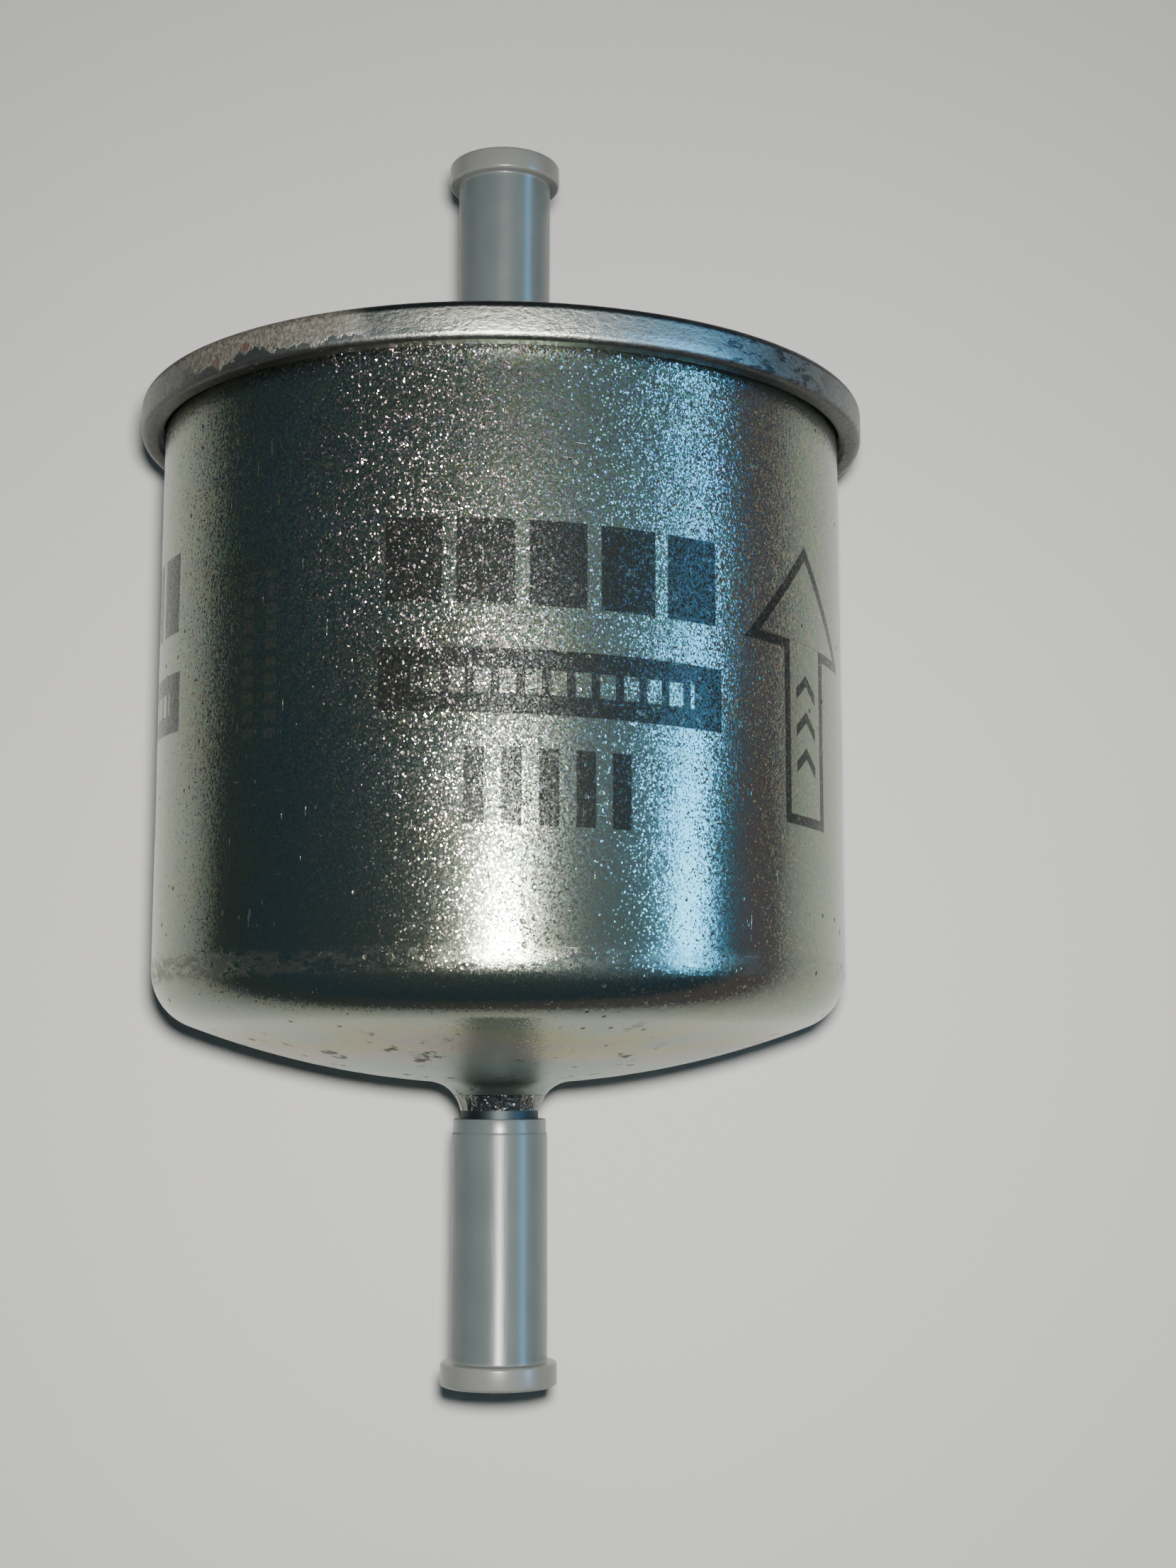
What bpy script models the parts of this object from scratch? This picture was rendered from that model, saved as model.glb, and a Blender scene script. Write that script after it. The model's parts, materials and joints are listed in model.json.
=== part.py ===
"""Inline fuel filter for a fuel-injected engine, with a plastic transit cap on each pipe.

A deep drawn steel can, domed at the inlet end, is closed at the outlet end by a pressed
cover whose edge is rolled round the can's flange in a double seam. A pipe is brazed into
each end. Inside, a coil spring on a perforated baffle pushes a pleated paper element
towards the cover, where a rubber grommet seals it on the outlet pipe.

Units are metres and +Z is up. The filter lies on its side: its axis runs along Y, fuel
flows towards +Y, and the seam touches z = 0 at the middle of the overall length in Y.

Turned pieces are described by a half outline of (along, out) pairs in millimetres: along
is the distance down the axis towards the outlet, and out is the distance from the axis.
Stations along the axis are measured from where the can's straight side meets its corner.
"""

import math

import bmesh
import bpy
from mathutils import Matrix, Vector

MM = 0.001

# Driving dimensions, in millimetres.
CAN_R = 36.0  # outside of the straight side
CAN_SHEET = 0.7
COVER_SHEET = 0.6
STRAIGHT_SIDE = 55.8  # from the corner to the underside of the seam
SEAM_HEIGHT = 3.7
SEAM_GAP = 0.2  # between the layers of the seam
CORNER_R = 6.0
DOME_R = 90.0
PIPE_R = 4.0  # an 8 mm hose tail
PIPE_WALL = 0.8
NECK_R = 3.5  # hollow curve from each end of the can into its pipe
NECK_OUT = 7.6  # distance of that curve's centre from the axis
NECK_SHEET_TURN = 53.0  # degrees of the curve pressed in the sheet, the rest being braze
NECK_BRAZE_TURN = 80.0
FIT_GAP = 0.15  # round a piece that is a push fit or brazed
CAP_LENGTH = 27.0
CAP_R = 4.95
CAP_FLANGE_R = 6.0
CAP_END = 2.4  # thickness of the closed end, and of the flange round it
CAP_LIP = 1.5  # slimmer band at the mouth
ELEMENT_R = 31.0
ELEMENT_CORE_R = 12.0
PLEATS = 32
PAPER = 0.6
FOLD_OUT = 1.6  # width of a fold at the outside of the element, and at its core
FOLD_IN = 1.0

# How finely round pieces are divided. A flat facet lies at the top and the bottom.
CAN_SIDES = 32
PIPE_SIDES = 24

# Stations and radii that follow from them.
SEAM_TOP = STRAIGHT_SIDE + SEAM_HEIGHT
SEAM_R = CAN_R + 2 * COVER_SHEET + CAN_SHEET + 3 * SEAM_GAP
AXIS_HEIGHT = SEAM_R * math.cos(math.pi / CAN_SIDES)
DOME_CENTRE = math.sqrt((DOME_R - CORNER_R) ** 2 - (CAN_R - CORNER_R) ** 2)
COVER_PANEL = SEAM_TOP - 2.0
INLET_NECK = DOME_CENTRE - math.sqrt((DOME_R + NECK_R) ** 2 - NECK_OUT**2)
OUTLET_NECK = COVER_PANEL + NECK_R
INLET_CAP_MOUTH = INLET_NECK - 0.35
OUTLET_CAP_MOUTH = OUTLET_NECK + 0.8
CAP_BORE = CAP_LENGTH - CAP_END
INLET_TIP = INLET_CAP_MOUTH - CAP_BORE + 0.3
OUTLET_TIP = OUTLET_CAP_MOUTH + CAP_BORE - 0.3
MIDDLE = (INLET_CAP_MOUTH + OUTLET_CAP_MOUTH) / 2
DOME_INSIDE = DOME_CENTRE - DOME_R + CAN_SHEET

# The element and what holds it, from the inlet end to the outlet end.
BAFFLE = -4.0
BAFFLE_SHEET = 0.6
BAFFLE_R = 27.8
CLOSED_END = 4.5
OPEN_END = 51.5
END_CAP_SHEET = 0.5
END_CAP_R = 32.8
END_CAP_LIP = 3.4
POTTING = 1.5
POTTING_R = 31.9
LAYER_GAP = 0.2
CORE_R = 10.0
CORE_SHEET = 0.6
SEAT_R = 6.4  # raised seats that centre the spring
SEAT_RISE = 1.2
SPRING_R = 7.6
SPRING_WIRE_R = 0.6
SPRING_TURNS = 3
GROMMET_R = 8.6
GROMMET_GROOVE_R = 6.8
MEDIA_START = CLOSED_END + END_CAP_SHEET + POTTING + 2 * LAYER_GAP
MEDIA_END = OPEN_END - END_CAP_SHEET - POTTING - 2 * LAYER_GAP

# Colour, metallic and roughness.
FINISHES = {
    "zinc_plated_steel": ((0.30, 0.33, 0.33), 1.0, 0.28),
    "tarnished_steel": ((0.36, 0.36, 0.34), 1.0, 0.45),
    "plated_pipe": ((0.42, 0.45, 0.46), 1.0, 0.25),
    "braze": ((0.40, 0.36, 0.28), 1.0, 0.40),
    "milky_polythene": ((0.72, 0.75, 0.74), 0.0, 0.35),
    "filter_paper": ((0.78, 0.66, 0.42), 0.0, 0.85),
    "tin_plate": ((0.60, 0.60, 0.58), 1.0, 0.35),
    "spring_steel": ((0.32, 0.33, 0.35), 1.0, 0.35),
    "potting_resin": ((0.62, 0.30, 0.12), 0.0, 0.55),
    "fuel_rubber": ((0.03, 0.03, 0.03), 0.0, 0.65),
    "strainer_fabric": ((0.85, 0.85, 0.82), 0.0, 0.90),
}


def finish_material(finish):
    found = bpy.data.materials.get(finish)
    if found:
        return found
    colour, metallic, roughness = FINISHES[finish]
    material = bpy.data.materials.new(finish)
    material.use_nodes = True
    shader = material.node_tree.nodes["Principled BSDF"]
    shader.inputs["Base Color"].default_value = (*colour, 1.0)
    shader.inputs["Metallic"].default_value = metallic
    shader.inputs["Roughness"].default_value = roughness
    return material


def put_on_axis(piece, station, finish):
    """Parents a new object to the filter's axis, at a station along it."""
    piece.data.materials.append(finish_material(finish))
    bpy.context.collection.objects.link(piece)
    piece.parent = bpy.data.objects["filter_axis"]
    piece.location = (0, station * MM, 0)
    return piece


def finished_mesh(name, bm):
    bmesh.ops.recalc_face_normals(bm, faces=bm.faces)
    mesh = bpy.data.meshes.new(name)
    bm.to_mesh(mesh)
    bm.free()
    mesh.shade_smooth()
    mesh.set_sharp_from_angle(angle=math.radians(32))
    return mesh


def arc(centre, radius, start, end, steps):
    """Points on an arc. Angles are in degrees, from +along towards +out."""
    turns = [math.radians(start + (end - start) * i / steps) for i in range(steps + 1)]
    return [(centre[0] + radius * math.cos(a), centre[1] + radius * math.sin(a)) for a in turns]


def neck_arc(station, towards, radius, start, end, steps):
    """Points on a neck's hollow curve, turning from the can's end into the pipe.

    towards is 1 where the pipe points to the outlet and -1 where it points to the inlet.
    """
    turns = [math.radians(start + (end - start) * i / steps) for i in range(steps + 1)]
    return [
        (station - towards * radius * math.cos(a), NECK_OUT - radius * math.sin(a)) for a in turns
    ]


def offset(line, distance, loop=False):
    """The line moved to the left of its direction by distance, with mitred corners."""
    points = [Vector(point) for point in line]
    moved = []
    for i, point in enumerate(points):
        sides = []
        if loop or i > 0:
            sides.append((point - points[i - 1]).normalized())
        if loop or i < len(points) - 1:
            sides.append((points[(i + 1) % len(points)] - point).normalized())
        lefts = [Vector((-side.y, side.x)) for side in sides]
        mitre = sum(lefts, Vector((0, 0))).normalized()
        moved.append(tuple(point + mitre * distance / mitre.dot(lefts[0])))
    return moved


def sheet(line, thickness):
    """Outline of a pressed sheet with the line as one face. Its metal is to the line's left."""
    return line + offset(line, thickness)[::-1]


def turned(name, outline, sides, station, finish):
    """A solid turned about the filter's axis from its half outline.

    An outline that starts on the axis also ends there, and is left open between the two.
    """
    half_facet = math.pi / sides
    bm = bmesh.new()
    corners = [
        bm.verts.new((out * MM * math.sin(half_facet), along * MM, out * MM * math.cos(half_facet)))
        for along, out in outline
    ]
    pairs = list(zip(corners, corners[1:]))
    if outline[0][1] > 0:
        pairs.append((corners[-1], corners[0]))
    edges = [bm.edges.new(pair) for pair in pairs]
    bmesh.ops.spin(
        bm, geom=corners + edges, cent=(0, 0, 0), axis=(0, 1, 0), angle=math.tau, steps=sides
    )
    bmesh.ops.remove_doubles(bm, verts=bm.verts, dist=1e-6)
    piece = bpy.data.objects.new(name, finished_mesh(name, bm))
    return put_on_axis(piece, station, finish)


def ring(name, inner, outer, length, sides, station, finish):
    outline = [(0, inner), (0, outer), (length, outer), (length, inner)]
    return turned(name, outline, sides, station, finish)


def drill(piece, radius, depth, sides, holes):
    """Cuts round holes through a piece. Each hole is a centre and a direction in its space."""
    bm = bmesh.new()
    for centre, direction in holes:
        turn = Vector(direction).to_track_quat("Z", "Y").to_matrix().to_4x4()
        bmesh.ops.create_cone(
            bm,
            cap_ends=True,
            segments=sides,
            radius1=radius * MM,
            radius2=radius * MM,
            depth=depth * MM,
            matrix=Matrix.Translation(Vector(centre) * MM) @ turn,
        )
    name = piece.name + "_drill"
    cutter = bpy.data.objects.new(name, finished_mesh(name, bm))
    bpy.context.collection.objects.link(cutter)
    cutter.parent = piece.parent
    cutter.location = piece.location
    cutter.hide_render = True
    cutter.display_type = "WIRE"
    cut = piece.modifiers.new("holes", "BOOLEAN")
    cut.operation = "DIFFERENCE"
    cut.solver = "EXACT"
    cut.object = cutter


def around(count, radius, along, phase=0.0):
    """(centre, outward direction) pairs evenly round the axis, clockwise seen from the inlet."""
    turns = [math.tau * (i + phase) / count for i in range(count)]
    outward = [(math.sin(a), 0, math.cos(a)) for a in turns]
    return [((x * radius, along, z * radius), (x, 0, z)) for x, _, z in outward]


# The shell.


def housing_can():
    """Drawn can: the pipe's collar, the dome, the corner, the side and the seam's flange."""
    neck = math.degrees(math.asin(NECK_OUT / (DOME_R + NECK_R)))
    corner = math.degrees(math.atan2(CAN_R - CORNER_R, DOME_CENTRE))
    flange = SEAM_TOP - COVER_SHEET - SEAM_GAP - CAN_SHEET
    hook_r = CAN_R + COVER_SHEET + 2 * SEAM_GAP
    bend = 0.2
    line = neck_arc(INLET_NECK, -1, NECK_R, NECK_SHEET_TURN, neck, 3)
    line += arc((DOME_CENTRE, 0), DOME_R, 180 - neck, 180 - corner, 4)[1:]
    line += arc((0, CAN_R - CORNER_R), CORNER_R, 180 - corner, 90, 4)[1:]
    line += arc((flange - bend, CAN_R + bend), bend, -90, 0, 1)
    line += arc((flange - bend, hook_r - bend), bend, 0, 90, 1)
    line += [(STRAIGHT_SIDE + COVER_SHEET + SEAM_GAP, hook_r)]
    turned("housing_can", sheet(line, -CAN_SHEET), CAN_SIDES, 0, "zinc_plated_steel")


def end_cover():
    """Pressed cover: the collar, a panel with a bead, the countersink and the seam's roll."""
    chuck_r = CAN_R - CAN_SHEET - SEAM_GAP - COVER_SHEET
    hook_r = CAN_R + SEAM_GAP
    sink = SEAM_TOP - 4.4
    roll = 0.8
    curl = 0.7
    bead = 0.7
    line = neck_arc(OUTLET_NECK, 1, NECK_R, NECK_SHEET_TURN, 0, 3)
    line += [(COVER_PANEL, 22.0), (COVER_PANEL + bead, 23.0)]
    line += [(COVER_PANEL + bead, 25.0), (COVER_PANEL, 26.0)]
    line += arc((COVER_PANEL - roll, 30.8), roll, 0, 75, 2)
    line += arc((sink + roll, chuck_r - roll), roll, 195, 90, 2)
    line += arc((SEAM_TOP - roll, chuck_r + roll), roll, -90, 0, 2)
    line += arc((SEAM_TOP - roll, SEAM_R - roll), roll, 0, 90, 2)
    line += arc((STRAIGHT_SIDE + curl, SEAM_R - curl), curl, 90, 180, 2)
    line += arc((STRAIGHT_SIDE + curl, hook_r + curl), curl, 180, 270, 2)
    line += [(STRAIGHT_SIDE + 1.6, hook_r)]
    turned("end_cover", sheet(line, COVER_SHEET), CAN_SIDES, 0, "tarnished_steel")


def seam_seal():
    """Sealing compound, between the end of the cover's hook and the can's flange."""
    inner = CAN_R + 0.25
    ring("seam_seal", inner, inner + 0.5, 0.4, CAN_SIDES, STRAIGHT_SIDE + 1.7, "fuel_rubber")


def pipe(name, tip, inner_end):
    """A plain tube with its outer edge broken at the tip."""
    towards = math.copysign(1, tip - inner_end)
    length = abs(tip - inner_end)
    bore = PIPE_R - PIPE_WALL
    broken = 0.3
    outline = [(0, bore), (0, PIPE_R), (length - broken, PIPE_R)]
    outline += [(length, PIPE_R - broken), (length, bore)]
    outline = [(towards * along, out) for along, out in outline]
    turned(name, outline, PIPE_SIDES, inner_end, "plated_pipe")


def braze_ring(name, neck, towards):
    """Fillet of braze that carries the neck's curve from the sheet on to the pipe."""
    start = NECK_SHEET_TURN + 3
    outline = neck_arc(neck, towards, NECK_R, start, NECK_BRAZE_TURN, 3)
    inner = neck_arc(neck, towards, NECK_R + 0.5, start, start, 1)[0]
    outline += [(inner[0], PIPE_R + FIT_GAP), inner]
    turned(name, outline, PIPE_SIDES, 0, "braze")


def transit_cap(name, mouth, towards):
    """Moulded cap pushed over a pipe: a slim mouth, a tube, and a flange at its closed end."""
    bore = PIPE_R + FIT_GAP
    broken = 0.3
    outline = [(CAP_BORE, 0), (CAP_BORE, bore), (broken, bore), (0, bore + broken)]
    outline += [(0, CAP_R - 0.1), (CAP_LIP, CAP_R - 0.1), (CAP_LIP, CAP_R)]
    outline += [(CAP_BORE, CAP_R + 0.05), (CAP_BORE, CAP_FLANGE_R - broken)]
    outline += [(CAP_BORE + broken, CAP_FLANGE_R), (CAP_LENGTH - broken, CAP_FLANGE_R)]
    outline += [(CAP_LENGTH, CAP_FLANGE_R - broken), (CAP_LENGTH, 0)]
    outline = [(towards * along, out) for along, out in outline]
    turned(name, outline, PIPE_SIDES, mouth, "milky_polythene")


# What is inside.


def inlet_baffle():
    """Plate that spreads the fuel. Its skirt stands on the dome and its middle seats the spring."""
    skirt_r = BAFFLE_R - BAFFLE_SHEET
    line = [(SEAT_RISE, 0), (SEAT_RISE, SEAT_R - 1.2), (0, SEAT_R - 0.2)]
    line += [(0, skirt_r - 0.6), (-0.6, skirt_r), (-2.15, skirt_r)]
    plate = turned("inlet_baffle", sheet(line, -BAFFLE_SHEET), CAN_SIDES, BAFFLE, "tin_plate")
    holes = [(centre, (0, 1, 0)) for centre, _ in around(6, 17.0, BAFFLE_SHEET / 2)]
    drill(plate, 3.5, 4.0, 12, holes)


def support_spring():
    low = BAFFLE + BAFFLE_SHEET + FIT_GAP + SPRING_WIRE_R
    high = CLOSED_END - FIT_GAP - SPRING_WIRE_R
    steps = SPRING_TURNS * 14
    curve = bpy.data.curves.new("support_spring", "CURVE")
    curve.dimensions = "3D"
    curve.bevel_depth = SPRING_WIRE_R * MM
    curve.bevel_resolution = 1
    curve.use_fill_caps = True
    wire = curve.splines.new("POLY")
    wire.points.add(steps)
    for i, point in enumerate(wire.points):
        turn = math.tau * SPRING_TURNS * i / steps
        rise = (high - low) * i / steps
        x, z = SPRING_R * math.sin(turn), SPRING_R * math.cos(turn)
        point.co = (x * MM, rise * MM, z * MM, 1)
    put_on_axis(bpy.data.objects.new("support_spring", curve), low, "spring_steel")


def closed_end_cap():
    lip_r = END_CAP_R
    line = [(-SEAT_RISE, 0), (-SEAT_RISE, SEAT_R - 1.2), (0, SEAT_R - 0.2)]
    line += [(0, lip_r - 0.5), (0.5, lip_r), (END_CAP_LIP, lip_r)]
    outline = sheet(line, -END_CAP_SHEET)
    turned("closed_end_cap", outline, CAN_SIDES, CLOSED_END, "tin_plate")


def outlet_end_cap():
    """End cap with a hole whose edge the grommet grips."""
    hole_r = GROMMET_GROOVE_R + FIT_GAP
    line = [(0, hole_r), (0, END_CAP_R - 0.5), (-0.5, END_CAP_R), (-END_CAP_LIP, END_CAP_R)]
    outline = sheet(line, END_CAP_SHEET)
    turned("outlet_end_cap", outline, CAN_SIDES, OPEN_END, "tin_plate")


def potting():
    """Resin that bonds each end of the paper into its end cap."""
    inner = CORE_R + 0.3
    low = CLOSED_END + END_CAP_SHEET + LAYER_GAP
    high = OPEN_END - END_CAP_SHEET - LAYER_GAP - POTTING
    for name, station in (("closed_end_potting", low), ("outlet_end_potting", high)):
        ring(name, inner, POTTING_R, POTTING, CAN_SIDES, station, "potting_resin")


def pleated_media():
    """One strip of paper folded back and forth between the core and the outside."""
    middle = []
    for i in range(PLEATS):
        centre = math.tau * i / PLEATS
        for radius, width, lean in (
            (ELEMENT_R, FOLD_OUT, 0),
            (ELEMENT_CORE_R, FOLD_IN, math.pi / PLEATS),
        ):
            half = width / 2 / radius
            turns = (centre + lean - half, centre + lean + half)
            middle += [(radius * math.sin(a), radius * math.cos(a)) for a in turns]
    bm = bmesh.new()
    sides = [
        [bm.verts.new((x * MM, 0, z * MM)) for x, z in offset(middle, distance, loop=True)]
        for distance in (PAPER / 2, -PAPER / 2)
    ]
    count = len(middle)
    faces = [
        bm.faces.new((sides[0][i], sides[0][(i + 1) % count], sides[1][(i + 1) % count], sides[1][i]))
        for i in range(count)
    ]
    pushed = bmesh.ops.extrude_face_region(bm, geom=faces)["geom"]
    lifted = [found for found in pushed if isinstance(found, bmesh.types.BMVert)]
    bmesh.ops.translate(bm, verts=lifted, vec=(0, (MEDIA_END - MEDIA_START) * MM, 0))
    piece = bpy.data.objects.new("pleated_media", finished_mesh("pleated_media", bm))
    put_on_axis(piece, MEDIA_START, "filter_paper")


def media_seam_clip():
    """Channel of tin plate that holds the two ends of the paper together at one outer fold."""
    inside = FOLD_OUT / 2 + PAPER / 2 + FIT_GAP
    top = ELEMENT_R + PAPER / 2 + FIT_GAP
    depth = 4.0
    wall = 0.5
    half = [(inside, top - depth), (inside + wall, top - depth), (inside + wall, top + wall)]
    outline = half + [(-x, z) for x, z in reversed(half)] + [(-inside, top), (inside, top)]
    bm = bmesh.new()
    face = bm.faces.new([bm.verts.new((x * MM, 0, z * MM)) for x, z in outline])
    pushed = bmesh.ops.extrude_face_region(bm, geom=[face])["geom"]
    lifted = [found for found in pushed if isinstance(found, bmesh.types.BMVert)]
    length = MEDIA_END - MEDIA_START - 1.0
    bmesh.ops.translate(bm, verts=lifted, vec=(0, length * MM, 0))
    piece = bpy.data.objects.new("media_seam_clip", finished_mesh("media_seam_clip", bm))
    put_on_axis(piece, MEDIA_START + 0.5, "tin_plate")


def centre_tube():
    """Perforated tube that keeps the paper from collapsing inwards."""
    start = CLOSED_END + END_CAP_SHEET + 0.3
    length = OPEN_END - END_CAP_SHEET - 0.4 - start
    inner = CORE_R - CORE_SHEET
    tube = ring("centre_tube", inner, CORE_R, length, PIPE_SIDES, start, "tin_plate")
    rows = 4
    holes = []
    for row in range(rows):
        along = length * (row + 1) / (rows + 1)
        holes += around(6, CORE_R, along, phase=0.5 * (row % 2))
    drill(tube, 2.0, 3.0, 8, holes)


def strainer_sleeve():
    length = MEDIA_END - MEDIA_START
    inner = CORE_R + 0.4
    ring("strainer_sleeve", inner, inner + 0.5, length, PIPE_SIDES, MEDIA_START, "strainer_fabric")


def outlet_grommet():
    """Rubber grommet gripping the end cap, with a tapered nose that meets the cover."""
    low = -END_CAP_SHEET - FIT_GAP
    high = FIT_GAP
    bore = PIPE_R + FIT_GAP
    nose = COVER_PANEL - COVER_SHEET - 0.4 - OPEN_END
    outline = [(low - 1.4, bore), (low - 1.4, GROMMET_R), (low, GROMMET_R)]
    outline += [(low, GROMMET_GROOVE_R), (high, GROMMET_GROOVE_R), (high, GROMMET_R)]
    outline += [(high + 1.4, GROMMET_R), (nose, 6.0), (nose, bore)]
    turned("outlet_grommet", outline, PIPE_SIDES, OPEN_END, "fuel_rubber")


def main():
    for old in list(bpy.data.objects):
        bpy.data.objects.remove(old, do_unlink=True)
    axis = bpy.data.objects.new("filter_axis", None)
    bpy.context.collection.objects.link(axis)
    axis.location = (0, -MIDDLE * MM, AXIS_HEIGHT * MM)

    housing_can()
    end_cover()
    seam_seal()
    pipe("inlet_pipe", INLET_TIP, DOME_INSIDE + 1.3)
    pipe("outlet_pipe", OUTLET_TIP, OPEN_END - 1.4)
    braze_ring("inlet_braze_ring", INLET_NECK, -1)
    braze_ring("outlet_braze_ring", OUTLET_NECK, 1)
    transit_cap("inlet_transit_cap", INLET_CAP_MOUTH, -1)
    transit_cap("outlet_transit_cap", OUTLET_CAP_MOUTH, 1)

    inlet_baffle()
    support_spring()
    closed_end_cap()
    outlet_end_cap()
    potting()
    pleated_media()
    media_seam_clip()
    centre_tube()
    strainer_sleeve()
    outlet_grommet()


main()
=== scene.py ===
"""Looks of an inline fuel filter that lies on its side on a pale floor.

The pressed and turned pieces are turned again from fine outlines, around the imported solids'
own axis and stations. Outlines are (along, out) pairs in millimetres: along is a station on
the axis, counted from where the can's straight side meets its corner, and out is the distance
from the axis. Patterns in the finishes are made in millimetres from the same axis.
"""

import json
import math

import bmesh
import bpy
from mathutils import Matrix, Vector

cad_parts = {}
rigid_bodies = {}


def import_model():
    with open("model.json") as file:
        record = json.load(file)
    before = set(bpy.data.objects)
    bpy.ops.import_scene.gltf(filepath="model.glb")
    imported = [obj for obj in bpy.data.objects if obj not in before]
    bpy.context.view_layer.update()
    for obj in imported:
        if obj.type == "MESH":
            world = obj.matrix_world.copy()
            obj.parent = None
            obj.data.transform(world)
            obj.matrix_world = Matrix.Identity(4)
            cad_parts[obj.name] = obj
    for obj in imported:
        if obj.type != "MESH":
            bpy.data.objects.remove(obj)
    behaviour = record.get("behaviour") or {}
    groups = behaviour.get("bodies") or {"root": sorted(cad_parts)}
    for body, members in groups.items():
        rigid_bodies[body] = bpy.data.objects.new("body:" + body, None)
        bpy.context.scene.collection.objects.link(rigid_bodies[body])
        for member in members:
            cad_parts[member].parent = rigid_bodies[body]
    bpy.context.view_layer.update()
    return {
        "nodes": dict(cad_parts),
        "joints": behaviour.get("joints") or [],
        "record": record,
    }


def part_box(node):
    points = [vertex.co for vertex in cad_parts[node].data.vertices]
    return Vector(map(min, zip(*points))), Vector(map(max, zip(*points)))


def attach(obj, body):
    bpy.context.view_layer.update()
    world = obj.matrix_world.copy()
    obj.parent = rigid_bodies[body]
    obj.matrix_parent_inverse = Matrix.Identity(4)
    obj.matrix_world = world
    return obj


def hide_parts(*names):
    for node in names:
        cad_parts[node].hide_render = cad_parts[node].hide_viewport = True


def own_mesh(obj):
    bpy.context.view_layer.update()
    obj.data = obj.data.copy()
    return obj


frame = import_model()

MM = 0.001
BODIES = frame["record"]["behaviour"]["bodies"]
SLOT_OF = {part["node"]: part["material_slot"] for part in frame["record"]["subparts"]}

# The shell's sheet metal, in millimetres.
CAN_R = 36.0
CAN_SHEET = 0.7
COVER_SHEET = 0.6
STRAIGHT_SIDE = 55.8
SEAM_HEIGHT = 3.7
SEAM_GAP = 0.2
CORNER_R = 6.0
DOME_R = 90.0
NECK_R = 3.5
NECK_OUT = 7.6
NECK_SHEET_TURN = 53.0
NECK_BRAZE_TURN = 82.0
PIPE_R = 4.0
PIPE_WALL = 0.8
FIT_GAP = 0.15
CAP_R = 4.95
CAP_FLANGE_R = 6.0
CAP_END = 2.4
CAP_LIP = 1.5

SEAM_TOP = STRAIGHT_SIDE + SEAM_HEIGHT
SEAM_R = CAN_R + 2 * COVER_SHEET + CAN_SHEET + 3 * SEAM_GAP
DOME_CENTRE = math.sqrt((DOME_R - CORNER_R) ** 2 - (CAN_R - CORNER_R) ** 2)
INLET_NECK = DOME_CENTRE - math.sqrt((DOME_R + NECK_R) ** 2 - NECK_OUT**2)


def span(node):
    """Where a CAD node starts and ends along the axis, in millimetres of the row frame."""
    low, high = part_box(node)
    return low.y / MM, high.y / MM


def middle_height(node):
    low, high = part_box(node)
    return (low.z + high.z) / 2 / MM


AXIS = middle_height("inlet_pipe")
START = span("end_cover")[1] - SEAM_TOP  # row-frame place of station 0
MOUNTS = {mount["name"]: mount for mount in frame["record"]["mounts"]}
COVER_PANEL = MOUNTS["cover_face"]["pos_m"][1] / MM - START
OUTLET_NECK = COVER_PANEL + NECK_R

CAN_SIDES = 256
PIPE_SIDES = 96
FLOOR_DROP = SEAM_R - AXIS  # the true round seam reaches this far below the faceted one


# Node trees


class Flow:
    """One output of a node. Arithmetic on it adds Math nodes to the same tree."""

    def __init__(self, nodes, socket):
        self.nodes = nodes
        self.socket = socket

    def __add__(self, other):
        return self.nodes.math("ADD", self, other)

    def __radd__(self, other):
        return self.nodes.math("ADD", other, self)

    def __sub__(self, other):
        return self.nodes.math("SUBTRACT", self, other)

    def __rsub__(self, other):
        return self.nodes.math("SUBTRACT", other, self)

    def __mul__(self, other):
        return self.nodes.math("MULTIPLY", self, other)

    def __rmul__(self, other):
        return self.nodes.math("MULTIPLY", other, self)

    def __truediv__(self, other):
        return self.nodes.math("DIVIDE", self, other)

    def __rtruediv__(self, other):
        return self.nodes.math("DIVIDE", other, self)

    def __pow__(self, other):
        return self.nodes.math("POWER", self, other)

    def __abs__(self):
        return self.nodes.math("ABSOLUTE", self)


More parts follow.
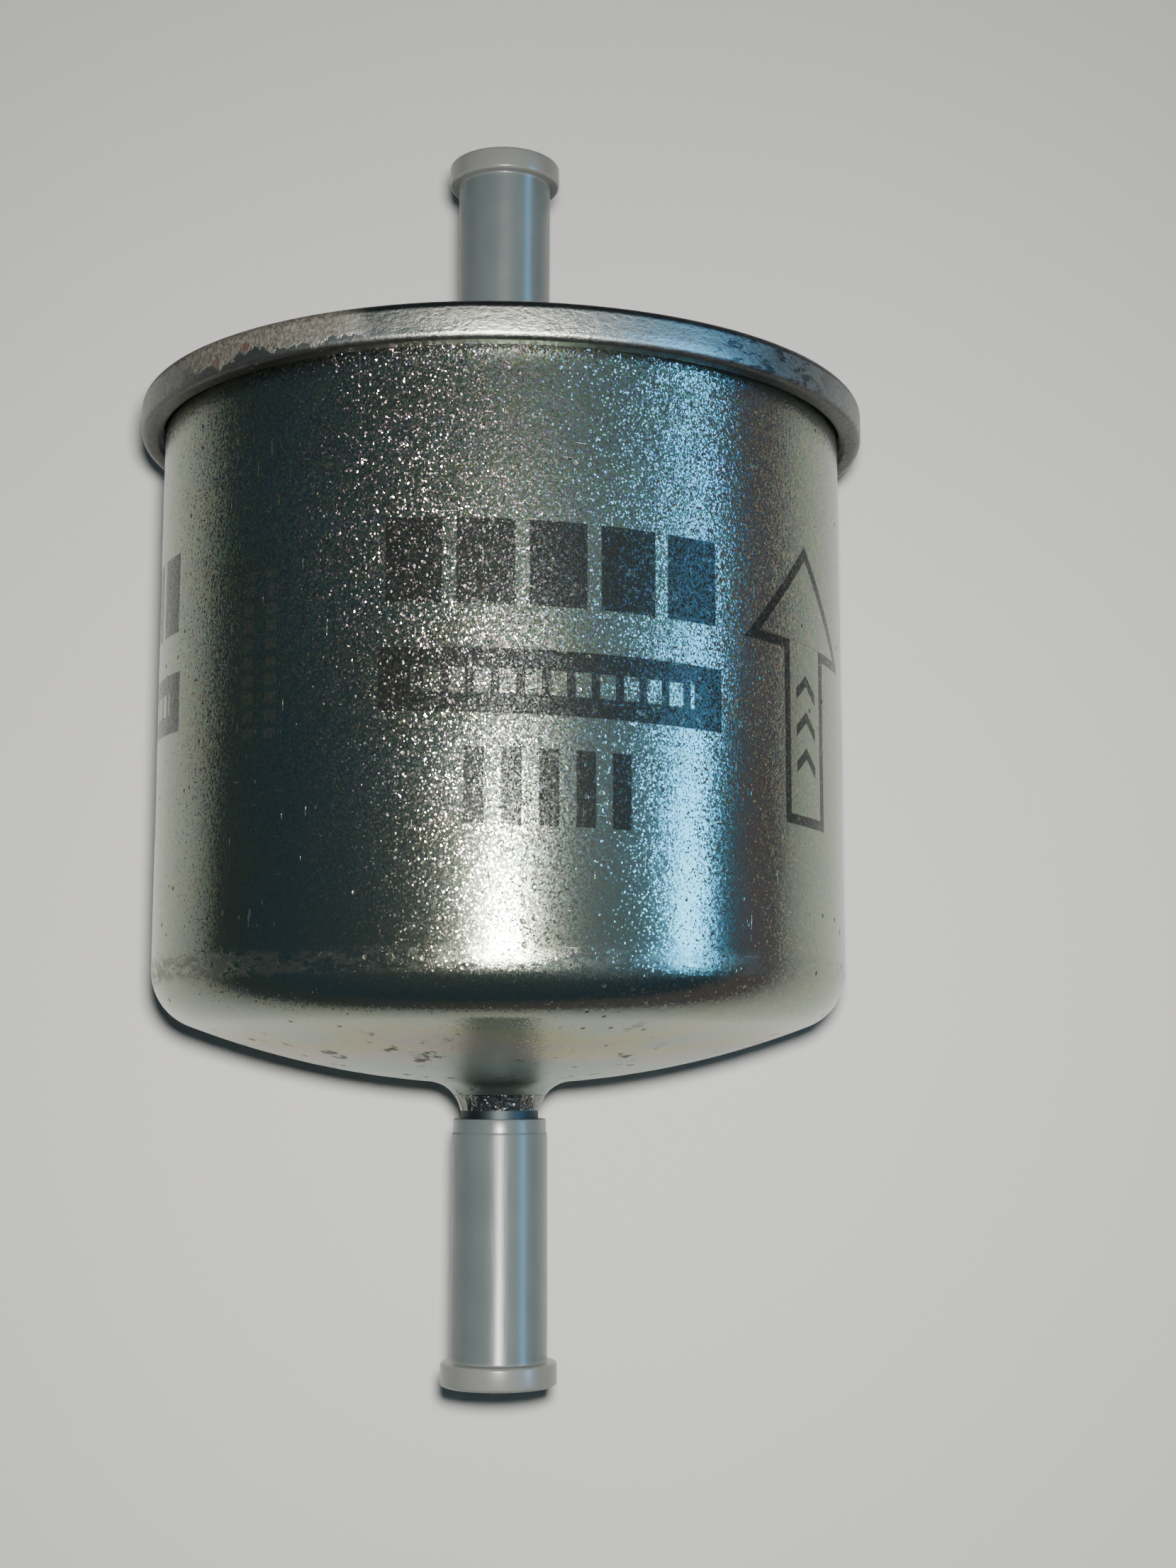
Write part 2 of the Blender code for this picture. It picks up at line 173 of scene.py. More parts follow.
class Nodes:
    """Builds one node tree."""

    def __init__(self, tree):
        self.tree = tree

    def node(self, kind, settings=None, inputs=None, output=0):
        """Adds a node: first its settings, then the values or links of its sockets."""
        made = self.tree.nodes.new(kind)
        for name, value in (settings or {}).items():
            if name == "stops":
                ramp = made.color_ramp
                while len(ramp.elements) < len(value):
                    ramp.elements.new(0.5)
                for element, (position, colour) in zip(ramp.elements, value):
                    element.position = position
                    element.color = (*colour, 1.0)
            else:
                setattr(made, name, value)
        for key, value in (inputs or {}).items():
            self.feed(made.inputs[key], value)
        return Flow(self, made.outputs[output])

    def feed(self, socket, value):
        if isinstance(value, Flow):
            self.tree.links.new(value.socket, socket)
        else:
            socket.default_value = value

    def math(self, operation, *values, clamp=False):
        settings = {"operation": operation, "use_clamp": clamp}
        return self.node("ShaderNodeMath", settings, dict(enumerate(values)))

    def vector(self, operation, *values, output=0):
        settings = {"operation": operation}
        return self.node("ShaderNodeVectorMath", settings, dict(enumerate(values)), output)

    def scaled(self, vector, factor):
        inputs = {0: vector, "Scale": factor}
        return self.node("ShaderNodeVectorMath", {"operation": "SCALE"}, inputs)

    def parts(self, vector):
        """The X, Y and Z of a vector."""
        first = self.node("ShaderNodeSeparateXYZ", None, {0: vector})
        return [Flow(self, socket) for socket in first.socket.node.outputs]

    def rise(self, value, low, high):
        """0 below low, 1 above high, with a smooth rise between. Low may be the larger."""
        settings = {"interpolation_type": "SMOOTHSTEP"}
        inputs = {"Value": value, "From Min": low, "From Max": high}
        return self.node("ShaderNodeMapRange", settings, inputs)

    def blend(self, factor, first, second, blend_type="MIX"):
        settings = {"data_type": "RGBA", "blend_type": blend_type}
        # Sockets 6 and 7 of a Mix node are its colours A and B, and output 2 is their result.
        return self.node("ShaderNodeMix", settings, {0: factor, 6: first, 7: second}, 2)

    def ramp(self, value, stops):
        return self.node("ShaderNodeValToRGB", {"stops": stops}, {"Fac": value})

    def least(self, first, *others):
        for other in others:
            first = self.math("MINIMUM", first, other)
        return first

    def most(self, first, *others):
        for other in others:
            first = self.math("MAXIMUM", first, other)
        return first


class Finish(Nodes):
    """A material whose patterns are made in millimetres from the filter's axis."""

    def __init__(self, name, **constants):
        self.material = bpy.data.materials.new(name)
        self.material.use_nodes = True
        super().__init__(self.material.node_tree)
        self.shader = self.tree.nodes["Principled BSDF"]
        for socket, value in constants.items():
            self.shader.inputs[socket.replace("_", " ")].default_value = value
        where = self.node("ShaderNodeTexCoord", output="Object")
        from_axis = (0.0, 0.0, -AXIS)
        self.place = self.vector("MULTIPLY_ADD", where, (1 / MM,) * 3, from_axis)
        self.across, self.along, self.up = self.parts(self.place)
        self.turn = self.math("ARCTAN2", self.across, self.up)
        self.out = self.math("SQRT", self.across * self.across + self.up * self.up)

    def noise(self, scale, detail=2.0, roughness=0.5, shift=0.0, stretch=(1, 1, 1)):
        """Noise from 0 to 1, with scale cells in a millimetre, and a shift to a new pattern."""
        where = self.vector("MULTIPLY_ADD", self.place, stretch, (shift, shift, shift))
        inputs = {"Vector": where, "Scale": scale, "Detail": detail, "Roughness": roughness}
        return self.node("ShaderNodeTexNoise", None, inputs)

    def cells(self, scale, output="Distance", shift=0.0, stretch=(1, 1, 1)):
        where = self.vector("MULTIPLY_ADD", self.place, stretch, (shift, shift, shift))
        return self.node("ShaderNodeTexVoronoi", None, {"Vector": where, "Scale": scale}, output)

    def wear(self, **outputs):
        for socket, value in outputs.items():
            self.feed(self.shader.inputs[socket.replace("_", " ")], value)

    def relief(self, height, facets=None):
        """Bump from a height in millimetres, then tilted by small vectors where facets are given."""
        inputs = {"Height": height, "Distance": MM, "Strength": 1.0}
        normal = self.node("ShaderNodeBump", None, inputs)
        if facets:
            normal = self.vector("NORMALIZE", self.vector("ADD", normal, facets))
        self.wear(Normal=normal)

    def around(self, degrees):
        """Distance round the can's side from a direction, in millimetres."""
        centre = math.radians(degrees)
        return self.math("WRAP", self.turn - centre, math.pi, -math.pi) * CAN_R


def colour(red, green, blue):
    return (red, green, blue, 1.0)


# Printing round the can. Angles are in degrees round from the top, lengths in millimetres.

LABEL_CENTRES = (-85.8, 10.5, 106.8, 203.1)
LABEL_TOP = 39.5
LABEL_WIDTH = 33.3
ARROW_CENTRE = 58.0
ARROW_TIP = 42.1
ARROW_HEAD = 10.9
ARROW_LENGTH = 27.9
ARROW_HALF_WIDTH = 10.3
SMALL_ROWS = (-36.6, 154.9)
PRINT_SEAM = 238.6
PRINT_SKEW = 0.031


def box_edge(finish, x, y, centre, half_x, half_y):
    """Distance outside an upright box on the can's side, negative inside it."""
    return finish.most(abs(x - centre[0]) - half_x, abs(y - centre[1]) - half_y)


def dashes(finish, value, pitch, half):
    """Distance outside the nearest of a row of dashes, one every pitch."""
    nearest = finish.math("PINGPONG", value, pitch / 2)
    return nearest - half


def label_ink(finish):
    """Where the can is printed: plain blocks, an outlined flow arrow and rows of dashes."""
    # The print runs slightly askew round the can. Its ends meet in a gap behind.
    front = math.radians(LABEL_CENTRES[1])
    seam = math.radians(PRINT_SEAM)
    round_can = finish.math("WRAP", finish.turn - front, seam - front, seam - front - math.tau)
    y = finish.along + round_can * (CAN_R * PRINT_SKEW)
    top = START + LABEL_TOP

    # The labels share one pattern: x is measured from the middle of the nearest label.
    offsets = [finish.around(centre) for centre in LABEL_CENTRES]
    x = offsets[0]
    for offset in offsets[1:]:
        nearer = finish.math("LESS_THAN", abs(offset), abs(x))
        x = x + (offset - x) * nearer
    half = LABEL_WIDTH / 2
    blocks = finish.most(
        box_edge(finish, x, y, (0.0, top - 4.0), half, 4.0), dashes(finish, x, 6.66, 2.7)
    )
    band = box_edge(finish, x, y, (0.0, top - 15.0), half, 3.0)
    slits = finish.most(
        box_edge(finish, x, y, (0.0, top - 15.0), half - 3.2, 1.1), dashes(finish, x, 2.3, 0.72)
    )
    band = finish.most(band, 0.0 - slits)
    tally = finish.most(
        box_edge(finish, x, y, (-0.85, top - 24.5), 8.6, 3.5),
        dashes(finish, x + 0.85, 3.4, 0.95),
    )
    printed = finish.least(blocks, band, tally)

    # Flow arrow: the outline of a head on a shaft, with three chevrons inside the shaft.
    x = finish.around(ARROW_CENTRE)
    tip = START + ARROW_TIP
    base = tip - ARROW_HEAD
    tail = tip - ARROW_LENGTH
    slope = math.hypot(ARROW_HALF_WIDTH, ARROW_HEAD)
    flank = abs(x) * (ARROW_HEAD / slope) + (y - tip) * (ARROW_HALF_WIDTH / slope)
    head = finish.most(flank, base - y)
    shaft = box_edge(finish, x, y, (0.0, (base + tail) / 2 + 1.0), 4.1, (base - tail) / 2 + 1.0)
    shape = finish.least(head, shaft)
    outline = abs(shape + 0.5) - 0.5
    climb = dashes(finish, y + abs(x) * 0.8 - tail, 3.6, 0.55)
    chevrons = finish.most(climb, box_edge(finish, x, y, (0.0, tail + 10.4), 2.0, 5.4))
    printed = finish.least(printed, outline, chevrons)

    # Short rows of dashes up the side, in pairs between two labels, printed fainter.
    rows = 1.0  # outside every row
    for degrees in SMALL_ROWS:
        x = finish.around(degrees)
        for place in (-1.6, 1.4):
            row = box_edge(finish, x, y, (place, top - 12.0), 0.75, 8.0)
            rows = finish.least(rows, finish.most(row, dashes(finish, y, 1.7, 0.55)))
    return finish.most(finish.rise(printed, 0.08, -0.08), finish.rise(rows, 0.1, -0.1) * 0.45)


# Finishes. Sides are in degrees round from the top.

FRONT = 2.0  # where the can is roughest, and where the rim's painted highlights are centred
SCUFFED_SIDE = -62.0
CORRODED_SIDE = -36.0
SCRAPED_SIDE = 45.0
CRYSTALS = 7.5  # in a millimetre
# Rust spots on the rim: the side, and millimetres down from its top edge.
RUST_SPOTS = ((-50.0, 4.4), (-37.0, 2.0), (-43.0, 2.6))
# Interference films in the plating, in the order that a swirl passes through them.
ZINC_FILMS = [
    (0.34, (0.19, 0.26, 0.28)),
    (0.46, (0.24, 0.27, 0.235)),
    (0.56, (0.29, 0.275, 0.145)),
    (0.66, (0.29, 0.245, 0.225)),
    (0.78, (0.21, 0.25, 0.24)),
]


def zinc_plate():
    """Bright zinc plate on a drawn can, with an orange peel, print, scuffs and specks."""
    zinc = Finish("zinc_plate", Metallic=1.0)
    side = zinc.rise(zinc.along, START - 6.0, START + 42.0)
    dome = zinc.rise(zinc.along, START - 4.5, START - 8.0)

    patches = zinc.noise(0.05, 3.0, shift=7.0)
    grain = zinc.noise(1.1, 3.0, 0.6, stretch=(1, 0.06, 1))
    plate = zinc.blend(patches, colour(0.26, 0.285, 0.27), colour(0.32, 0.335, 0.31))
    swirl = zinc.noise(0.07, 3.0, 0.6, shift=31.0, stretch=(0.5, 2.0, 1))
    film = zinc.ramp(swirl + dome * (0.55 - zinc.out * (0.6 / CAN_R)), ZINC_FILMS)
    plate = zinc.blend(0.2 + 0.75 * dome, plate, film)
    # Painted iridescent sheen: a green band, then a lilac band, down each flank where the side turns away
    # from straight up, off the dome.
    flanks = abs(zinc.around(0.0))
    green = zinc.rise(flanks, 33.0, 38.0) * zinc.rise(flanks, 48.0, 42.0) * (1.0 - dome)
    plate = zinc.blend(green * 0.4, plate, colour(0.25, 0.31, 0.22))
    lilac = zinc.rise(flanks, 44.0, 51.0) * zinc.rise(flanks, 68.0, 57.0) * (1.0 - dome)
    plate = zinc.blend(lilac * 0.45, plate, colour(0.31, 0.22, 0.31))

    # Dark specks where the plating has let the steel through, more of them on the dome.
    pits = zinc.rise(zinc.cells(0.45, shift=3.0), 0.14, 0.07)
    pits = pits * zinc.rise(zinc.noise(0.11, 2.0, shift=19.0), 0.44, 0.54)
    blots = zinc.rise(zinc.noise(0.30, 4.0, 0.65, shift=5.0, stretch=(1, 2.4, 1)), 0.60, 0.68)
    blots = blots * dome
    specks = zinc.most(pits, blots)
    plate = zinc.blend(specks * 0.8, plate, colour(0.055, 0.055, 0.05))

    # A scuffed ring where the straight side meets the corner, worst on one side.
    ring = zinc.rise(abs(zinc.along - (START - 0.4)), 1.7, 0.6)
    rubbed = zinc.rise(zinc.noise(0.6, 5.0, 0.72, shift=11.0, stretch=(1, 2.5, 1)), 0.42, 0.56)
    worst = zinc.rise(abs(zinc.around(SCUFFED_SIDE)), 32.0, 16.0)
    scuffs = ring * rubbed * (0.30 + 0.70 * worst)
    plate = zinc.blend(scuffs * 0.75, plate, colour(0.20, 0.20, 0.185))

    # Fine pale scratches, sparse, running any way.
    for shift, stretch in ((51.0, (3.0, 0.25, 3.0)), (63.0, (0.3, 3.0, 0.3))):
        mark = zinc.noise(0.9, 2.0, shift=shift, stretch=stretch)
        scuffs = zinc.most(scuffs, zinc.rise(mark, 0.735, 0.76) * 0.6)

    ink = label_ink(zinc)
    faded = zinc.rise(zinc.noise(1.4, 3.0, 0.6, shift=23.0), 0.30, 0.42)
    ink = ink * (0.72 + 0.28 * faded)
    plate = zinc.blend(ink, plate, colour(0.028, 0.031, 0.031))

    # Crystals of the plating, each with its own tilt and shade. A few lean far over, and
    # those glitter, more of them up the side.
    crystals = zinc.cells(CRYSTALS, "Color", stretch=(1, 0.8, 1))
    shade = zinc.blend(0.12 + 0.18 * side, colour(0.5, 0.515, 0.47), crystals)
    plate = zinc.vector("MULTIPLY", plate, zinc.vector("ADD", shade, shade))
    tilt = zinc.vector("SUBTRACT", crystals, (0.5, 0.5, 0.5))
    front = zinc.rise(abs(zinc.around(FRONT)), 35.0, 14.0)
    coarse = side * (0.25 + 0.75 * front)
    far = zinc.math("POWER", zinc.parts(crystals)[0], 2.5)
    facets = zinc.scaled(tilt, (0.04 + 0.20 * coarse) + (0.03 + 0.34 * coarse) * far + 0.28 * far**5)

    peel = zinc.noise(2.6, 2.0, 0.6, stretch=(1, 0.8, 1))
    swell = zinc.noise(0.10, 1.0, shift=13.0)
    rough = 0.145 + 0.05 * patches + 0.18 * dome + 0.14 * zinc.parts(crystals)[1] * coarse
    rough = rough + 0.22 * scuffs + 0.25 * specks + 0.08 * ink
    zinc.wear(Base_Color=plate, Roughness=rough, Metallic=1.0 - 0.3 * ink * ink)
    height = peel * (0.006 + 0.030 * side) + swell * 0.05 + grain * 0.008 * side
    zinc.relief(height - scuffs * 0.02 - specks * 0.03, facets)
    return zinc.material


def tarnished_plate():
    """Dull plate on the seamed cover: tarnish, a patch of corrosion and rust spots, with painted
    highlights and painted shade on the seam.
    """
    dull = Finish("tarnished_plate", Metallic=1.0)
    cloud = dull.noise(0.22, 4.0, 0.6, shift=2.0)
    smear = dull.noise(1.6, 4.0, 0.65, shift=9.0, stretch=(1, 1.6, 1))
    plate = dull.blend(cloud, colour(0.12, 0.125, 0.12), colour(0.34, 0.34, 0.315))
    plate = dull.blend(dull.rise(smear, 0.35, 0.72) * 0.5, plate, colour(0.09, 0.095, 0.095))
    top = START + SEAM_TOP
    # Painted dark reflection: the rim's rounded top edge is darkened nearly to black.
    edge = dull.rise(dull.along + smear * 0.4, top - 0.75, top - 0.45)
    plate = dull.blend(edge * 0.9, plate, colour(0.045, 0.05, 0.05))
    # Painted highlight: a pale line round the lower part of the seam's band, at the front only, where the
    # plate is also smoother.
    painted_flash_line = dull.rise(abs(dull.along - (top - 2.85)), 0.55, 0.2)
    painted_flash_line = painted_flash_line * dull.rise(abs(dull.around(FRONT)), 24.0, 8.0)
    # Painted highlight: the rim's band is lightened round the front, patchy where the smear is.
    front_highlight = dull.rise(abs(dull.around(FRONT)), 26.0, 4.0) * dull.rise(smear, 0.25, 0.6)
    plate = dull.blend(front_highlight * (1.0 - edge) * 0.6, plate, colour(0.62, 0.62, 0.56))
    plate = dull.blend(painted_flash_line * 0.8, plate, colour(0.72, 0.72, 0.68))

    # Painted shade where the roll turns under, and dark scrapes down one shoulder.
    under = START + STRAIGHT_SIDE
    painted_shade_under_roll = dull.rise(dull.along, under + 0.5, under + 0.1)
    scraped = dull.rise(dull.noise(0.5, 4.0, 0.65, shift=37.0, stretch=(1, 2.2, 1)), 0.53, 0.57)
    rim = dull.rise(dull.out, SEAM_R - 1.6, SEAM_R - 0.6)
    scraped = scraped * dull.rise(abs(dull.around(SCRAPED_SIDE)), 10.0, 5.0) * rim
    plate = dull.blend(dull.most(painted_shade_under_roll, scraped) * 0.75, plate, colour(0.035, 0.035, 0.035))

    # Corrosion creeps from the top edge, thickest over one stretch of the rim.
    ragged = dull.noise(0.42, 5.0, 0.7, shift=17.0)
    stretch_of_rim = dull.rise(abs(dull.around(CORRODED_SIDE)), 13.0, 8.5)
    bloom = dull.rise(dull.along + (ragged - 0.5) * 7.0, top - 2.8, top - 2.3)
    bloom = bloom * stretch_of_rim * rim
    bloom = dull.most(bloom, rim * dull.rise(ragged + stretch_of_rim * 0.06, 0.68, 0.71))
    crumbs = dull.rise(dull.noise(2.6, 4.0, 0.7, shift=27.0), 0.35, 0.65)
    crust = dull.blend(crumbs, colour(0.055, 0.050, 0.045), colour(0.19, 0.175, 0.15))
    plate = dull.blend(bloom * 0.85, plate, crust)

    spots = 0.0
    for degrees, drop in RUST_SPOTS:
        away = abs(dull.around(degrees)) + abs(dull.along - (top - drop))
        spots = dull.most(spots, dull.rise(away + (ragged - 0.5) * 2.4, 0.8, 0.2) * rim)
    plate = dull.blend(spots * 0.8, plate, colour(0.10, 0.05, 0.03))

    metal = 1.0 - 0.75 * dull.most(bloom, spots)
    rough = 0.28 + 0.12 * cloud + 0.14 * smear + 0.25 * bloom - 0.12 * painted_flash_line
    dull.wear(Base_Color=plate, Metallic=metal, Roughness=rough)
    lines = dull.noise(2.2, 2.0, shift=6.0, stretch=(0.25, 2.5, 0.25))
    dull.relief(smear * 0.09 + lines * 0.006 + bloom * (0.05 + 0.07 * crumbs) + cloud * 0.03)
    return dull.material


def plated_tube():
    """Bright plate on the hose tails, with the fine lines left by drawing."""
    bright = Finish("plated_tube", Metallic=1.0)
    haze = bright.noise(0.3, 3.0, shift=3.0)
    lines = bright.noise(3.0, 2.0, stretch=(1, 0.08, 1))
    plate = bright.blend(haze, colour(0.62, 0.76, 0.80), colour(0.82, 0.90, 0.86))
    # Painted dark reflection: the inlet tail between its cap's mouth and the can is darkened nearly to
    # black, and made rougher.
    mouth = span("inlet_transit_cap")[1]
    painted_dark_strip = bright.rise(bright.along, mouth - 0.4, mouth) * bright.rise(bright.along, START + 1.0, START)
    plate = bright.blend(painted_dark_strip * 0.97, plate, colour(0.03, 0.04, 0.045))
    bright.wear(Base_Color=plate, Roughness=0.27 + 0.08 * haze + 0.06 * lines + 0.2 * painted_dark_strip)
    bright.relief(lines * 0.012 + haze * 0.02)
    return bright.material


def brazing():
    """Braze metal under zinc: dark and lumpy, with pale specks of flux."""
    metal = Finish("brazing", Metallic=1.0)
    lumps = metal.noise(0.9, 3.0, 0.6, shift=12.0)
    runs = metal.noise(0.9, 2.0, shift=5.0, stretch=(1.6, 0.25, 1.6))
    plate = metal.blend(lumps, colour(0.07, 0.075, 0.07), colour(0.30, 0.31, 0.29))
    flux = metal.rise(metal.noise(2.4, 3.0, 0.6, shift=8.0), 0.62, 0.68)
    plate = metal.blend(flux * 0.7, plate, colour(0.70, 0.70, 0.64))
    metal.wear(Base_Color=plate, Roughness=0.16 + 0.20 * lumps + 0.3 * flux)
    metal.relief(lumps * 0.25 + runs * 0.30 + flux * 0.03)
    return metal.material


def milky_polythene():
    """Natural polythene: milky and half see-through, with dust, scratches and a few specks."""
    milk = Finish("milky_polythene", IOR=1.51, Coat_Weight=0.38, Coat_Roughness=0.25)
    mist = milk.noise(0.25, 3.0, shift=4.0)
    flow = milk.noise(0.5, 2.0, shift=9.0, stretch=(1, 0.15, 1))
    body = milk.blend(mist, colour(0.112, 0.142, 0.150), colour(0.142, 0.168, 0.172))
    dirt = milk.rise(milk.cells(0.45, shift=6.0), 0.12, 0.06)
    dirt = dirt * milk.rise(milk.noise(0.21, 1.0, shift=14.0), 0.55, 0.60)
    body = milk.blend(dirt * 0.6, body, colour(0.08, 0.08, 0.08))
    dust = milk.rise(milk.noise(3.0, 4.0, 0.7, shift=21.0), 0.66, 0.75)
    body = milk.blend(dust * 0.35, body, colour(0.40, 0.40, 0.38))
    tip = span("outlet_pipe")[1]
    solid = milk.most(
        milk.rise(abs(milk.along), tip - 0.2, tip + 0.5), milk.rise(milk.out, CAP_R + 0.1, CAP_R + 0.4)
    )
    body = milk.blend(solid, body, colour(0.175, 0.185, 0.180))
    clear = 0.67 + 0.06 * mist + 0.2 * dirt + 0.1 * dust + 0.28 * solid
    milk.wear(Base_Color=body, Roughness=0.27 + 0.10 * mist + 0.2 * dust, Alpha=clear)
    scratches = milk.noise(1.2, 2.0, shift=2.0, stretch=(3.0, 0.2, 3.0))
    milk.relief(flow * 0.04 + scratches * 0.01 + dust * 0.01)
    return milk.material


def tin_plate():
    tin = Finish("tin_plate", Metallic=1.0)
    flowers = tin.cells(0.18, "Color", shift=3.0)
    lines = tin.noise(2.0, 2.0, stretch=(1, 0.2, 1))
    plate = tin.blend(0.12, colour(0.62, 0.62, 0.60), flowers, "SOFT_LIGHT")
    tin.wear(Base_Color=plate, Roughness=0.26 + 0.12 * lines)
    tin.relief(lines * 0.01)
    return tin.material


def spring_wire():
    wire = Finish("spring_wire", Metallic=1.0)
    scale = wire.noise(1.5, 3.0, 0.6)
    wire.wear(
        Base_Color=wire.blend(scale, colour(0.20, 0.21, 0.24), colour(0.42, 0.42, 0.42)),
        Roughness=0.25 + 0.2 * scale,
    )
    wire.relief(scale * 0.01)
    return wire.material


def resin():
    """Potting resin, with small bubbles and a wavy surface."""
    cured = Finish("resin", Specular_IOR_Level=0.5)
    swirl = cured.noise(0.2, 3.0)
    bubbles = cured.rise(cured.cells(0.7), 0.22, 0.12)
    amber = cured.blend(swirl, colour(0.44, 0.18, 0.07), colour(0.66, 0.32, 0.13))
    cured.wear(Base_Color=amber, Roughness=0.30 + 0.25 * swirl + 0.1 * bubbles)
    cured.relief(swirl * 0.1 - bubbles * 0.08)
    return cured.material


def filter_paper():
    """Creped paper stiffened with resin."""
    paper = Finish("filter_paper")
    fibres = paper.noise(2.5, 5.0, 0.7, stretch=(1, 0.5, 1))
    stain = paper.noise(0.08, 3.0, shift=5.0)
    crepe = paper.node(
        "ShaderNodeTexWave",
        {"bands_direction": "Y"},
        {"Vector": paper.place, "Scale": 0.35, "Distortion": 1.5, "Detail": 2.0},
        "Fac",
    )
    straw = paper.blend(stain, colour(0.80, 0.64, 0.36), colour(0.84, 0.72, 0.47))
    straw = paper.blend(fibres * 0.35, straw, colour(0.62, 0.47, 0.24))
    paper.wear(Base_Color=straw, Roughness=0.82 + 0.1 * fibres)
    paper.relief(fibres * 0.08 + crepe * 0.06)
    return paper.material


def fuel_rubber():
    rubber = Finish("fuel_rubber")
    bloom = rubber.noise(0.3, 4.0, 0.6)
    grain = rubber.noise(4.0, 2.0)
    black = rubber.blend(bloom, colour(0.02, 0.02, 0.02), colour(0.06, 0.06, 0.058))
    rubber.wear(Base_Color=black, Roughness=0.55 + 0.2 * bloom)
    rubber.relief(grain * 0.02)
    return rubber.material


def strainer_fabric():
    """Non-woven sleeve: two crossed sets of fine threads."""
    fabric = Finish("strainer_fabric")
    threads = []
    for direction in ("Y", "DIAGONAL"):
        wave = {"Vector": fabric.place, "Scale": 0.8, "Distortion": 0.6}
        threads.append(
            fabric.node("ShaderNodeTexWave", {"bands_direction": direction}, wave, "Fac")
        )
    weave = fabric.most(*threads)
    white = fabric.blend(weave, colour(0.60, 0.60, 0.56), colour(0.86, 0.86, 0.83))
    fabric.wear(Base_Color=white, Roughness=0.85 + 0.1 * weave)
    fabric.relief(weave * 0.08)
    return fabric.material


FINISH_OF_SLOT = {
    "zinc_plated_steel": zinc_plate(),
    "tarnished_steel": tarnished_plate(),
    "plated_pipe": plated_tube(),
    "braze": brazing(),
    "milky_polythene": milky_polythene(),
    "filter_paper": filter_paper(),
    "tin_plate": tin_plate(),
    "spring_steel": spring_wire(),
    "potting_resin": resin(),
    "fuel_rubber": fuel_rubber(),
    "strainer_fabric": strainer_fabric(),
}


# Geometry trees


class Shaper(Nodes):
    """A Geometry Nodes tree with named inputs that ends in one finished mesh."""

    def __init__(self, name, counts=(), sizes=()):
        super().__init__(bpy.data.node_groups.new(name, "GeometryNodeTree"))
        kinds = {"Geometry": "NodeSocketGeometry"}
        kinds.update((label, "NodeSocketInt") for label in counts)
        kinds.update((label, "NodeSocketFloat") for label in sizes)
        kinds["Finish"] = "NodeSocketMaterial"
        self.ids = {}
        for label, kind in kinds.items():
            socket = self.tree.interface.new_socket(label, in_out="INPUT", socket_type=kind)
            self.ids[label] = socket.identifier
        self.tree.interface.new_socket(
            "Geometry", in_out="OUTPUT", socket_type="NodeSocketGeometry"
        )
        given = self.node("NodeGroupInput")
        self.given = {s.name: Flow(self, s) for s in given.socket.node.outputs if s.name}

    def whole(self, operation, *values):
        settings = {"operation": operation}
        return self.node("FunctionNodeIntegerMath", settings, dict(enumerate(values)))

    def point(self, x, y, z):
        return self.node("ShaderNodeCombineXYZ", None, {0: x, 1: y, 2: z})

    def finish(self, geometry):
        solid = self.node("GeometryNodeRealizeInstances", None, {0: geometry})
        inputs = {"Geometry": solid, "Material": self.given["Finish"]}
        painted = self.node("GeometryNodeSetMaterial", None, inputs)
        result = self.tree.nodes.new("NodeGroupOutput")
        self.tree.links.new(painted.socket, result.inputs[0])
        return self


WAVES = 0.06  # in a millimetre round the can's side
WAVE_STRETCH = 400.0  # from metres along the axis, so waves are longer that way
WAVE_FADE = 100.0  # waviness fades out over the last 10 mm to the axis
MERGE_CLOSER = 1e-6  # metres


def turning_tree():
    """Turns an outline about the axis.

    The outline's points are in the XY plane: X is the distance from the axis, and Y is the
    place along it. Waviness pushes the skin in and out a little, as drawn sheet is.
    """
    shaper = Shaper("turn_about_axis", ["Sides"], ["Axis Height", "Waviness"])
    given = shaper.given
    outline = given["Geometry"]
    settings = {"component": "MESH"}
    points = shaper.node("GeometryNodeAttributeDomainSize", settings, {0: outline})
    grid = shaper.node(
        "GeometryNodeMeshGrid",
        None,
        {"Vertices X": shaper.whole("ADD", given["Sides"], 1), "Vertices Y": points},
        "Mesh",
    )
    index = shaper.node("GeometryNodeInputIndex")
    on_outline = shaper.whole("MODULO", index, points)
    step = shaper.whole("DIVIDE_FLOOR", index, points)
    place = shaper.node("GeometryNodeInputPosition")
    sampled = shaper.node(
        "GeometryNodeSampleIndex",
        {"data_type": "FLOAT_VECTOR", "domain": "POINT"},
        {"Geometry": outline, "Value": place, "Index": on_outline},
    )
    out, along, _ = shaper.parts(sampled)
    turn = step * math.tau / given["Sides"]
    sine = shaper.math("SINE", turn)
    cosine = shaper.math("COSINE", turn)
    round_place = shaper.point(sine * CAN_R, along * WAVE_STRETCH, cosine * CAN_R)
    wave = shaper.node("ShaderNodeTexNoise", None, {"Vector": round_place, "Scale": WAVES})
    faded = shaper.math("MINIMUM", out * WAVE_FADE, 1.0)
    out = out + (wave - 0.5) * given["Waviness"] * faded
    moved = shaper.node(
        "GeometryNodeSetPosition",
        None,
        {
            "Geometry": grid,
            "Position": shaper.point(out * sine, along, given["Axis Height"] + out * cosine),
        },
    )
    closed = shaper.node("GeometryNodeMergeByDistance", None, {0: moved, "Distance": MERGE_CLOSER})
    return shaper.finish(closed)


